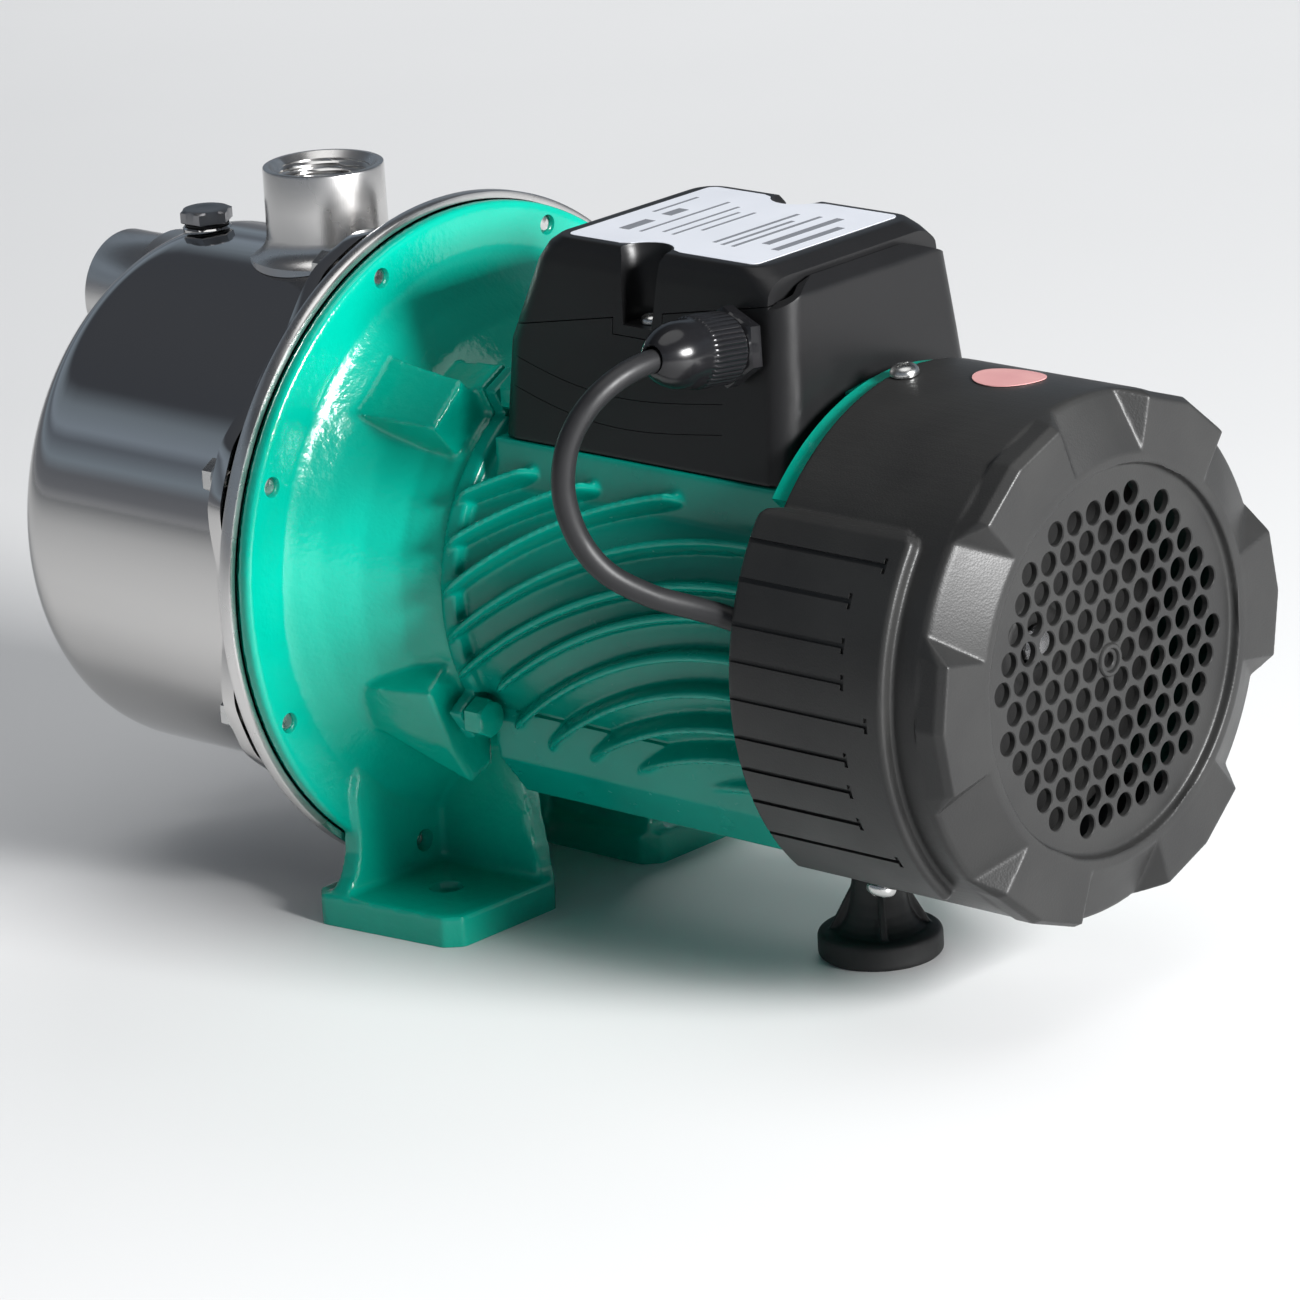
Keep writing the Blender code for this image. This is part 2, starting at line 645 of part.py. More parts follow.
def make_housing():
    barrel = turned(
        [
            (BARREL_X[0], 47.0),
            (BARREL_X[0], 62.0),
            (50.0, 62.0),
            (51.0, BARREL_R),
            (166.0, BARREL_R),
            (167.0, 62.5),
            (BARREL_X[1], 62.5),
            (BARREL_X[1], BARREL_BORE),
            (50.0, BARREL_BORE),
            (50.0, 47.0),
        ],
        32,
    )
    housing = finish("motor_housing", barrel, "green_enamel")
    extras = bmesh.new()
    half, low = BASE_HALF, BASE_Z
    outline = [(-half, low), (half, low), (half + 11.0, low + 14.0), (half + 13.0, 72.0)]
    outline += [(-half - 13.0, 72.0), (-half - 11.0, low + 14.0)]
    prism(outline, 50.3, 171.7, across_x, extras)
    base = cutter("housing_base", extras)
    boolean(housing, base, "UNION")
    extras = bmesh.new()
    half, high = SADDLE_HALF, SADDLE_Z
    outline = [(-half - 1.0, 138.0), (half + 1.0, 138.0), (half, high), (-half, high)]
    prism(outline, SADDLE_X[0], SADDLE_X[1], across_x, extras)
    boolean(housing, cutter("housing_saddle", extras), "UNION")
    ears = bmesh.new()
    for angle in HOUSING_BOLTS:
        radial_block(angle, (45.3, 57.0, 72.5, 8.0), (49.7, 57.0, 72.5, 8.0), ears)
    boolean(housing, cutter("housing_ears", ears), "UNION")
    fins = bmesh.new()
    for rear, twist, first, last in FINS:
        for flip in (False, True):
            fin(rear, twist, first + 4.4, last, flip, fins)
    boolean(housing, cutter("housing_fins", fins), "UNION")
    holes = turned([(50.6, 0.0), (50.6, BARREL_BORE), (180.0, BARREL_BORE), (180.0, 0.0)], 32)
    for angle in HOUSING_BOLTS:
        frame = axis_frame(polar(HOUSING_BOLT_CIRCLE, angle), (1.0, 0.0, 0.0))
        bore = [(44.0, 0.0), (44.0, 3.0), (49.9, 3.0), (49.9, 6.8), (57.0, 6.8), (57.0, 0.0)]
        turned(bore, 8, frame, holes)
    frame = axis_frame((REAR_FOOT_X, 0.0, 0.0), (0.0, 0.0, 1.0))
    turned([(38.0, 0.0), (38.0, 3.0), (50.0, 3.0), (50.0, 0.0)], 12, frame, holes)
    boolean(housing, cutter("housing_bores", holes))
    for index, angle in enumerate(HOUSING_BOLTS):
        centre = polar(HOUSING_BOLT_CIRCLE, angle)
        frame = axis_frame(centre, (1.0, 0.0, 0.0))
        profile = [(33.0, 0.0), (33.0, 2.5), (50.4, 2.5), (50.4, 5.0, 6), (55.2, 5.0, 6)]
        profile += [(55.2, 0.0)]
        bolt = turned(profile, 12, frame)
        finish("housing_bolt_%d" % (index + 1), bolt, "green_paint", tuple(centre))


def make_motor_inside():
    core = [(72.0, 34.0), (72.0, 54.7), (142.0, 54.7), (142.0, 34.0)]
    finish("stator_core", turned(core, 32), "laminations")
    for name, low, high in (("winding_front", 56.0, 71.7), ("winding_rear", 142.3, 157.0)):
        ring = [(low, 41.0), (low + 2.0, 37.5), (high, 36.5), (high, 50.0)]
        ring += [(low + 2.0, 49.0), (low, 46.0)]
        finish(name, turned(ring, 20), "copper_winding")
    core = [(66.0, 8.3), (66.0, 28.0), (71.0, 33.4), (143.0, 33.4), (148.0, 28.0), (148.0, 8.3)]
    finish("rotor_core", turned(core, 20), "laminations", (66.0, 0.0, AXIS_Z))
    shaft = [(-40.0, 0.0), (-40.0, 3.4), (-39.4, 4.0), (-30.2, 4.0), (-30.0, 6.0), (-14.2, 6.0)]
    shaft += [(-13.9, 7.6), (27.8, 7.6), (27.8, 7.4), (39.6, 7.4), (40.4, 9.2), (60.0, 9.2)]
    shaft += [(60.0, 8.0), (152.0, 8.0), (152.0, 9.2), (162.0, 9.2), (162.6, 7.4), (176.0, 7.4)]
    shaft += [(176.4, 6.0), (226.0, 6.0), (227.0, 5.0), (227.0, 0.0)]
    finish("shaft", turned(shaft, 12), "bearing_steel", (0.0, 0.0, AXIS_Z))
    for name, x in (("front", 28.0), ("rear", 163.0)):
        outer = [(x, 11.2), (x, 17.5), (x + 11.0, 17.5), (x + 11.0, 11.2), (x + 10.0, 11.2)]
        outer += [(x + 10.0, 14.5), (x + 1.0, 14.5), (x + 1.0, 11.2)]
        finish(name + "_bearing_outer", turned(outer, 16), "bearing_steel")
        inner = [(x, 7.7), (x, 10.8), (x + 11.0, 10.8), (x + 11.0, 7.7)]
        origin = (x, 0.0, AXIS_Z)
        finish(name + "_bearing_inner", turned(inner, 16), "bearing_steel", origin)


def make_rear_shield():
    profile = [(161.0, 17.8), (161.0, 23.0), (172.3, 25.0), (172.3, 62.5), (176.0, 66.0)]
    profile += [(176.0, 77.0), (182.6, 77.0), (182.6, 75.8), (190.0, 75.8), (190.0, 73.0)]
    profile += [(180.0, 73.0), (180.0, 66.0), (178.0, 60.0), (178.0, 9.0), (174.3, 9.0)]
    profile += [(174.3, 17.8)]
    shield = finish("rear_end_shield", turned(profile, 32), "green_enamel")
    openings = sector(67.5, 84.0, (170.0, 195.0), (138.0, 231.0), 6)
    sector(67.5, 84.0, (170.0, 195.0), (mirrored(138.0), -93.5), 9, openings)
    boolean(shield, cutter("shield_openings", openings))
    holes = bmesh.new()
    for angle in COVER_SCREWS:
        direction = polar(1.0, angle) - polar(0.0, angle)
        frame = axis_frame((COVER_SCREW_X, 0.0, AXIS_Z), direction)
        turned([(68.0, 0.0), (68.0, 1.9), (82.0, 1.9), (82.0, 0.0)], 8, frame, holes)
    boolean(shield, cutter("shield_holes", holes))


COVER_SCREW_X = 187.0
COVER_SCREWS = (96.0, 248.0)


def grille_holes():
    turned_by = math.radians(GRILLE_TURN + 45.0)
    holes = bmesh.new()
    for i in range(-6, 7):
        for j in range(-6, 7):
            ring = i * i + j * j - i * j
            if ring == 0 or ring > 31:
                continue
            along = GRILLE_PITCH * (i - 0.5 * j)
            up = GRILLE_PITCH * j * math.sqrt(3) / 2
            turn = math.radians(GRILLE_TURN)
            y = along * math.cos(turn) - up * math.sin(turn)
            z = along * math.sin(turn) + up * math.cos(turn)
            frame = axis_frame((0.0, y, AXIS_Z + z), (1.0, 0.0, 0.0))
            hole = [(246.0, 0.0), (246.0, GRILLE_HOLE_R), (256.0, GRILLE_HOLE_R), (256.0, 0.0)]
            turned(hole, 4, frame, holes, start=turned_by)
    return holes


GRILLE_TURN = 5.7


def make_fan_cover():
    rear = COVER_X[1]
    floor = rear - 3.0
    profile = [(COVER_X[0], COVER_R - COVER_WALL), (COVER_X[0], COVER_R), (249.6, COVER_R)]
    profile += [(250.6, COVER_R - 1.2), (rear, RECESS_R + 2.6), (rear, RECESS_R)]
    profile += [(floor, RECESS_R - 0.8), (floor, 0.0), (floor - 2.2, 0.0)]
    profile += [(floor - 2.2, RECESS_R - 0.4), (246.8, COVER_R - 4.0), (244.0, COVER_R - COVER_WALL)]
    cover = finish("fan_cover", turned(profile, 34), "black_plastic")
    lugs = bmesh.new()
    for index in range(LUG_COUNT):
        angle = 60.0 * index - 1.0
        half = 77.0 * math.sin(math.radians(LUG_HALF_ANGLE))
        front = (250.6, 62.6, 77.4, half + 0.8)
        radial_block(angle, front, (254.9, 61.8, 76.4, half - 0.8), lugs)
    boolean(cover, cutter("cover_lugs", lugs), "UNION")
    scoops = sector(76.8, SCOOP_R, SCOOP_X, SCOOP_ANGLES, 10)
    far = tuple(mirrored(angle) for angle in SCOOP_ANGLES)
    sector(76.8, SCOOP_R, SCOOP_X, far, 10, scoops)
    boolean(cover, cutter("cover_scoops", scoops), "UNION")
    near = (SCOOP_ANGLES[0] + 2.0, SCOOP_ANGLES[1] - 2.0)
    hollows = sector(74.0, SCOOP_R - 2.6, (SCOOP_X[0] - 2.0, SCOOP_X[1] - 3.0), near, 10)
    far = tuple(mirrored(angle) for angle in near)
    sector(74.0, SCOOP_R - 2.6, (SCOOP_X[0] - 2.0, SCOOP_X[1] - 3.0), far, 10, hollows)
    boolean(cover, cutter("cover_hollows", hollows))
    holes = grille_holes()
    for angle in COVER_SCREWS:
        direction = polar(1.0, angle) - polar(0.0, angle)
        frame = axis_frame((COVER_SCREW_X, 0.0, AXIS_Z), direction)
        turned([(72.0, 0.0), (72.0, 2.2), (84.0, 2.2), (84.0, 0.0)], 10, frame, holes)
    boolean(cover, cutter("cover_holes", holes))
    for index, angle in enumerate(COVER_SCREWS):
        direction = polar(1.0, angle) - polar(0.0, angle)
        frame = axis_frame((COVER_SCREW_X, 0.0, AXIS_Z), direction)
        profile = [(70.0, 0.0), (70.0, 1.6), (79.0, 1.6), (79.0, 4.4), (80.6, 4.2), (81.8, 2.6)]
        profile += [(81.9, 0.0)]
        screw = turned(profile, 12, frame)
        finish("fan_cover_screw_%d" % (index + 1), screw, "zinc_steel")
    make_sticker()


def make_sticker():
    bm = bmesh.new()
    rings = []
    for r in (79.0, 79.3):
        rows = [[bm.verts.new(polar(r, 87.0, 216.0))]]
        for size in (5.5, 10.8):
            row = []
            for step in range(16):
                turn = 2 * math.pi * step / 16
                angle = 87.0 + math.degrees(size * math.sin(turn) / r)
                row.append(bm.verts.new(polar(r, angle, 216.0 + size * math.cos(turn))))
            rows.append(row)
        rings.append(rows)
    for rows in rings:
        for step in range(16):
            after = (step + 1) % 16
            bm.faces.new((rows[0][0], rows[1][step], rows[1][after]))
            bm.faces.new((rows[1][step], rows[2][step], rows[2][after], rows[1][after]))
    for step in range(16):
        after = (step + 1) % 16
        low, high = rings[0][2], rings[1][2]
        bm.faces.new((low[step], low[after], high[after], high[step]))
    finish("round_sticker", bm, "sticker_pink")


def make_fan():
    hub = [(208.0, 6.3), (208.0, 15.0), (220.0, 16.0), (222.0, 60.0), (224.0, 60.0)]
    hub += [(224.5, 12.0), (224.5, 6.3)]
    fan = finish("fan", turned(hub, 24), "black_plastic", (208.0, 0.0, AXIS_Z))
    blades = bmesh.new()
    for index in range(7):
        angle = 360.0 * index / 7
        radial_block(angle, (209.0, 13.5, 54.0, 1.1), (222.6, 13.5, 59.0, 1.3), blades)
    boolean(fan, cutter("fan_blades", blades), "UNION")


def box_outline(x_low, x_high, half, corner):
    outline = []
    corners = ((x_high, half, 0), (x_low, half, 90), (x_low, -half, 180), (x_high, -half, 270))
    for x, y, start in corners:
        centre_x = x - corner if x == x_high else x + corner
        centre_y = y - corner if y > 0 else y + corner
        for step in range(4):
            turn = math.radians(start + 30 * step)
            outline.append((centre_x + corner * math.cos(turn), centre_y + corner * math.sin(turn)))
    return outline


def box_shell(inset, low=None, high=None, rear=BOX_LEVELS[0][2]):
    """The terminal box's outside, or a smaller copy of it, ending at rear, for its hollow."""
    levels = [list(level) for level in BOX_LEVELS]
    if inset:
        levels[0][0] = low
        levels[-1][0] = high
        levels[-2][0] = min(levels[-2][0], high - 1.5)
    bm = bmesh.new()
    rings = []
    for z, x_low, x_high, half in levels:
        end = min(x_high - inset, rear)
        outline = box_outline(x_low + inset, end, half - inset, BOX_CORNER - inset / 2)
        rings.append([bm.verts.new(Vector((x, y, z))) for x, y in outline])
    return loft(rings, bm)


def parting(x):
    (x0, z0), (x1, z1) = PART_FRONT, PART_REAR
    return z0 + (x - x0) * (z1 - z0) / (x1 - x0)


def gland_frame():
    direction = (0.0, -math.cos(GLAND_TILT), math.sin(GLAND_TILT))
    return axis_frame(GLAND, direction)


def make_box():
    low_x, high_x = 40.0, 165.0
    base = finish("terminal_box_base", box_shell(0.0), "black_plastic")
    boolean(base, cutter("box_base_hollow", box_shell(BOX_WALL, 169.6, 240.0)))
    bosses = bmesh.new()
    for side in (-1.0, 1.0):
        y = sorted((side * 26.0, side * 38.5))
        block((104.0, 120.0), y, (159.0, 204.0), bosses)
    boolean(base, cutter("box_bosses", bosses), "UNION")
    above = [(low_x, parting(low_x)), (162.5, parting(162.5)), (164.5, 219.5), (185.0, 219.5)]
    above += [(185.0, 250.0), (low_x, 250.0)]
    boolean(base, cutter("box_above", prism(above, -60.0, 60.0, across_y)))
    arch = []
    for step in range(13):
        angle = math.radians(42.0 + 8.0 * step)
        arch.append((58.0 * math.cos(angle), 161.2 + 58.0 * math.sin(angle)))
    arch += [(-60.0, 200.0), (-60.0, 240.0), (60.0, 240.0), (60.0, 200.0)]
    boolean(base, cutter("box_arch", prism(arch, 162.0, 190.0, across_x)))
    seat = [(50.0, 0.0), (50.0, 59.0), (165.6, 59.0), (165.6, 63.0), (176.0, 63.0), (176.0, 0.0)]
    boolean(base, cutter("box_seat", turned(seat, 36)))
    holes = turned([(-9.0, 0.0), (-9.0, 8.2), (6.0, 8.2), (6.0, 0.0)], 20, gland_frame())
    for side in (-1.0, 1.0):
        frame = axis_frame((LID_SCREW[0], side * LID_SCREW[1], 0.0), (0.0, 0.0, 1.0))
        turned([(182.0, 0.0), (182.0, 2.2), (210.0, 2.2), (210.0, 0.0)], 10, frame, holes)
    boolean(base, cutter("box_base_holes", holes))
    make_lid()
    make_box_contents()


def make_lid():
    lid = finish("terminal_box_lid", box_shell(0.0), "black_plastic")
    boolean(lid, cutter("lid_hollow", box_shell(BOX_WALL, 150.0, 218.8, 159.4)))
    pockets = bmesh.new()
    for side in (-1.0, 1.0):
        y = sorted((side * 26.5, side * 36.0))
        block((102.5, 121.5), y, (196.0, 220.5), pockets)
    boolean(lid, cutter("lid_pockets", pockets), "UNION")
    below = [(40.0, parting(40.0) + GAP), (161.9, parting(161.9) + GAP), (161.9, 240.0)]
    below += [(190.0, 240.0), (190.0, 150.0), (40.0, 150.0)]
    boolean(lid, cutter("lid_below", prism(below, -60.0, 60.0, across_y)))
    wells = bmesh.new()
    for side in (-1.0, 1.0):
        centre = (LID_SCREW[0], side * 35.8, 0.0)
        frame = axis_frame(centre, (0.0, 0.0, 1.0))
        turned([(204.2, 0.0), (204.2, 7.2), (230.0, 8.0), (230.0, 0.0)], 24, frame, wells)
    boolean(lid, cutter("lid_wells", wells))
    holes = bmesh.new()
    for side in (-1.0, 1.0):
        frame = axis_frame((LID_SCREW[0], side * LID_SCREW[1], 0.0), (0.0, 0.0, 1.0))
        turned([(190.0, 0.0), (190.0, 2.2), (206.0, 2.2), (206.0, 0.0)], 10, frame, holes)
    boolean(lid, cutter("lid_holes", holes))
    for index, side in enumerate((-1.0, 1.0)):
        centre = (LID_SCREW[0], side * LID_SCREW[1], 204.5)
        frame = axis_frame((centre[0], centre[1], 0.0), (0.0, 0.0, 1.0))
        profile = [(184.0, 0.0), (184.0, 1.8), (204.5, 1.8), (204.5, 3.6), (206.2, 3.4)]
        profile += [(207.0, 2.2), (207.0, 0.0)]
        finish("lid_screw_%d" % (index + 1), turned(profile, 14, frame), "zinc_steel", centre)
    plate = [(79.5, -31.5)]
    for side in (-1.0, 1.0):
        notch = []
        for step in range(7):
            turn = math.radians(180.0 - 30.0 * step)
            y = side * (36.5 - 9.0 * math.sin(turn))
            if abs(y) < 31.5:
                notch.append((LID_SCREW[0] + 9.2 * math.cos(turn), y))
        notch = [(101.0, side * 31.5)] + notch + [(123.0, side * 31.5)]
        if side < 0:
            plate += notch + [(151.5, -31.5), (151.5, 31.5)]
        else:
            plate += list(reversed(notch)) + [(79.5, 31.5)]
    label = prism(plate, 221.8, 222.1, across_z)
    finish("rating_label", label, "label_white", smooth=False)


def make_box_contents():
    frame = axis_frame((0.0, 8.5, 184.0), (1.0, 0.0, 0.0))
    can = [(72.0, 0.0), (72.0, 12.0), (73.0, 13.0), (139.0, 13.0), (140.0, 12.0), (140.0, 0.0)]
    finish("capacitor", turned(can, 20, frame), "capacitor_case")
    strip = block((82.0, 132.0), (-24.0, -8.0), (170.0, 176.0))
    block_obj = finish("terminal_block", strip, "engineering_plastic", smooth=False)
    ribs = bmesh.new()
    for index in range(5):
        block((83.0 + 11.5 * index, 85.0 + 11.5 * index), (-22.0, -10.0), (175.0, 182.0), ribs)
    boolean(block_obj, cutter("terminal_ribs", ribs), "UNION")
    frame = gland_frame()
    body = [(-10.0, 4.2), (-10.0, 7.6), (-9.0, 7.9), (0.8, 7.9), (0.8, 10.6, 6), (1.3, 11.0, 6)]
    body += [(5.6, 11.0, 6), (6.2, 10.4, 12), (6.2, 7.9), (17.0, 7.9), (18.0, 7.2), (18.0, 4.2)]
    finish("gland_body", turned(body, 12, frame), "black_plastic")
    nut = [(7.0, 8.2), (7.0, 10.2), (7.8, 10.9), (19.5, 10.9), (21.0, 10.4), (28.0, 10.0)]
    nut += [(33.0, 8.6), (36.0, 6.4), (37.2, 4.6), (37.2, 4.0), (20.0, 4.0), (18.4, 8.2)]
    finish("gland_nut", turned(nut, 16, frame), "black_plastic")


def make_rear_foot():
    up = axis_frame((REAR_FOOT_X, 0.0, 0.0), (0.0, 0.0, 1.0))
    r = REAR_FOOT_R
    profile = [(0.0, 0.0), (0.0, r - 1.2), (1.2, r), (7.6, r), (8.6, r - 1.0), (9.6, 12.6)]
    profile += [(12.0, 11.0), (26.0, 7.6), (39.0, 7.2), (41.2, 7.2), (41.2, 2.6), (22.0, 2.6)]
    profile += [(22.0, 0.0)]
    finish("rear_foot", turned(profile, 20, up), "rubber")
    stud = [(23.0, 0.0), (23.0, 2.3), (48.0, 2.3), (48.0, 0.0)]
    finish("rear_foot_stud", turned(stud, 12, up), "zinc_steel")


def make_cord():
    curve = bpy.data.curves.new("power_cord", "CURVE")
    curve.dimensions = "3D"
    curve.bevel_depth = CORD_R * MM
    curve.bevel_resolution = 2
    curve.use_fill_caps = True
    spline = curve.splines.new("POLY")
    spline.points.add(len(CORD_ROUTE) - 1)
    for point, (x, y, z) in zip(spline.points, CORD_ROUTE):
        point.co = ((x + START) * MM, y * MM, z * MM, 1.0)
    curve.materials.append(material("cord_black"))
    cord = bpy.data.objects.new("power_cord", curve)
    bpy.context.scene.collection.objects.link(cord)

    up = axis_frame((COIL_CENTRE[0], COIL_CENTRE[1], 0.0), (0.0, 0.0, 1.0))
    inner, outer = COIL_MEAN_R - COIL_HALF, COIL_MEAN_R + COIL_HALF
    ring = [(1.6, inner + 3.0), (4.6, inner), (13.0, inner), (16.0, inner + 3.0)]
    ring += [(16.0, outer - 3.0), (13.0, outer), (4.6, outer), (1.6, outer - 3.0)]
    finish("cord_coil", turned(ring, 28, up), "cord_black")

    x, y = COIL_CENTRE[0] - COIL_MEAN_R, COIL_CENTRE[1]
    outer_loop = block((x - 9.9, x + 9.9), (y - 4.0, y + 4.0), (0.1, 17.5))
    tie = finish("cord_tie", outer_loop, "black_plastic", smooth=False)
    gap = block((x - 8.7, x + 8.7), (y - 6.0, y + 6.0), (1.3, 16.3))
    boolean(tie, cutter("tie_gap", gap))
    make_plug()


def make_plug():
    frame = axis_frame((-25.0, 217.9, 9.5), (-1.0, 0.0, 0.0))
    body = [(-58.0, 0.0), (-58.0, CORD_R), (-34.0, CORD_R), (-34.0, 4.6), (-22.0, 5.2)]
    body += [(-20.0, 9.0), (0.0, 9.3), (1.5, 8.6), (1.5, 0.0)]
    plug = finish("plug", turned(body, 16, frame), "black_plastic")
    pins = bmesh.new()
    for side in (-1.0, 1.0):
        offset = frame @ Vector((0.0, side * 5.0, 0.0))
        pin_frame = axis_frame(offset, (-1.0, 0.0, 0.0))
        pin = [(0.0, 0.0), (0.0, 2.0), (18.0, 2.0), (19.0, 1.3), (19.0, 0.0)]
        turned(pin, 12, pin_frame, pins)
    boolean(plug, cutter("plug_pins", pins), "UNION")


def main():
    clear_scene()
    make_casing()
    make_ports()
    make_plugs()
    make_clamp_ring()
    make_hydraulics()
    make_shaft_seal()
    make_bracket()
    make_housing()
    make_motor_inside()
    make_rear_shield()
    make_fan_cover()
    make_fan()
    make_box()
    make_rear_foot()
    make_cord()


main()
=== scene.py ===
import json
import math

import bmesh
import bpy
from mathutils import Matrix, Vector


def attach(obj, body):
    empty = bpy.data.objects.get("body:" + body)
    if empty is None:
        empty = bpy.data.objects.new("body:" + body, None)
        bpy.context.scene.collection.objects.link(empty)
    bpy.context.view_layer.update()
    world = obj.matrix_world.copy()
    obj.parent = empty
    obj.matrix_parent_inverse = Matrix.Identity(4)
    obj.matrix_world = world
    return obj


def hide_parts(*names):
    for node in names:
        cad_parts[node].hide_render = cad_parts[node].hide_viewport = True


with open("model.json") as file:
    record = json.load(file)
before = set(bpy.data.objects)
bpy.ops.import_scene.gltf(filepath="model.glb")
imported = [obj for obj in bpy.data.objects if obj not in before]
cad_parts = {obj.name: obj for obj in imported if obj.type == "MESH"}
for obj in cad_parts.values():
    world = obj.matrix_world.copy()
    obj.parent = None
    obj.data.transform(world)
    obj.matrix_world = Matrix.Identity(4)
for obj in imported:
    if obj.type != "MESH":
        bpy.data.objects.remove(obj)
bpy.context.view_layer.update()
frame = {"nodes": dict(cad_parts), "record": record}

# The working numbers are millimetres. Their x starts at the rear face of the casing flange, and
# START moves the middle of the pump's length onto the frame's x = 0, as in the CAD.
MM = 0.001
START = -54.15
AXIS_Z = 108
# Small metal and moulded pieces keep edges above this many degrees hard
CRISP = 25

# Camera: its direction in degrees, and its focal length as a share of the picture's side
AZIMUTH, ELEVATION, ROLL = 42.70, 17.44, -3.349
FOCAL_PX, FRAME_PX, SENSOR_MM = 7141.5, 1300, 36
CAMERA_AT = (1484.72, -1530.26, 734.92)

# Casing
TANK_R, SHEET = 83.8, 2
DOME_START, DOME_END, DOME_POWER = -99, -124, 4.25
FLANGE_R = 106
PORT_R, PORT_BORE = 19, 15.2
OUTLET_X, OUTLET_TOP = -53.6, 218.8
SUCTION_END, SUCTION_Z = -147, AXIS_Z + 58.7
PRIMING_X, DRAIN_Z = -107.5, AXIS_Z - 60
SCREW_COUNT, SCREW_CIRCLE = 8, 97.4

# Bracket, housing and end shield
DISC_R, NECK_END = 103.5, 45
FOOT_X, FOOT_Y, FOOT_TOP, FOOT_HOLE = (-6.8, 50), (20, 75), 10, (27, 49)
BARREL_R, BARREL_BORE = 58.5, 55
BASE_HALF, BASE_Z = 35, 41.5
SADDLE_X, SADDLE_HALF, SADDLE_Z = (57, 171), 46, 157.5
HOUSING_BOLT_CIRCLE = 66
HOUSING_BOLTS = (214, -34, 117, 63)
FIN_R, FIN_ROOT_R, FIN_THICK, FIN_SEAM, FIN_OPEN_END = 66.5, 56, 2.6, 46.2, 160
# Each fin: angle at the rear end, how far it twists forward of that, first x, last x
FINS = (
    (119.5, 31, 51.4, 77),
    (127.3, 36.2, 51.4, 101),
    (134.6, 42.4, 51.4, 135),
    (148, 42, 51.4, 168),
    (159.5, 42.5, 52.4, 168),
    (167.5, 47.5, 59.9, 168),
    (178, 52, 58.4, 168),
    (188, 57, 67.4, 168),
    (198.5, 61, 83.4, 168),
    (209, 66, 99.4, 168),
    (221, 70, 114.4, 168),
)

# The rib between disc, neck and foot on each side: its corners on the disc, then on its rear face
GUSSET = (
    (3, 70, 78), (3, 68.5, 71), (12, 64.5, 81.5), (14, 56, 60), (24, 54, 86.5),
    (2, 45, 88), (22, 42, 60), (42.5, 67, 79.8), (42.5, 57.6, 87), (42.5, 40.5, 50.1),
    (42.5, 50.3, 46.5), (42.5, 58.5, 60), (42.5, 40, 80),
)

# Fan cover
COVER_R, COVER_WALL, COVER_X = 78.6, 2.4, (183, 255.3)
RECESS_R = 58
SCOOP_R, SCOOP_X, SCOOP_ANGLES = 83, (178, 236), (140, 229)
# Each groove on the scoop: angle, where it ends
GROOVES = (
    (148.6, 229.7), (156.7, 220.7), (165.6, 220.8), (172.8, 221.5), (180.6, 230.1),
    (188.9, 221.2), (196.2, 220.3), (204.3, 219.9), (213.6, 228.3),
)
GRILLE_PITCH, GRILLE_HOLE_R, GRILLE_TURN = 8.76, 3.45, 5.7
LUG_COUNT, LUG_HALF_ANGLE = 6, 15
COVER_SCREW_X, COVER_SCREWS = 187, (96, 248)
STICKER_AT, STICKER_R = (87, 216), 10.8

# Terminal box: height, front x, rear x, half width
BOX_LEVELS = (
    (157.8, 57, 171.5, 45),
    (187, 58, 170, 41.4),
    (212.5, 68, 168.3, 38.2),
    (217.6, 71.5, 161.5, 37),
    (220.1, 75, 157, 35.6),
)
BOX_CORNER, BOX_WALL = 8, 2.6
LABEL_X, LABEL_HALF, LABEL_Z = (79, 153), 32.8, 219.95
ARCH_R, ARCH_TOP, WELL_FLOOR, TONGUE_Z = 82, 218.6, 197.6, 194.6
PART_FRONT, PART_REAR = (57, 191), (160, 209.5)
LID_SCREW = (112, 33.2)
# Plain bars where the label has print: first and last x, then the row's y and its height
LABEL_BARS = (
    (145.5, 148.5, -2, 30), (138.5, 141.5, 4, 34), (132.5, 134, 0, 40),
    (128.5, 130, -4, 32), (124.5, 126, 0, 38), (112, 113.2, 2, 24),
    (107.5, 108.7, -3, 30), (103, 104.2, 0, 34), (96.5, 97.7, 0, 40),
    (88.5, 92.5, -14, 12), (88.5, 92.5, 3, 8), (84, 85.2, 10, 20),
)
GLAND, GLAND_TILT = (152, -41.2, 198), math.radians(7)
REAR_FOOT_X, REAR_FOOT_R = 160, 19

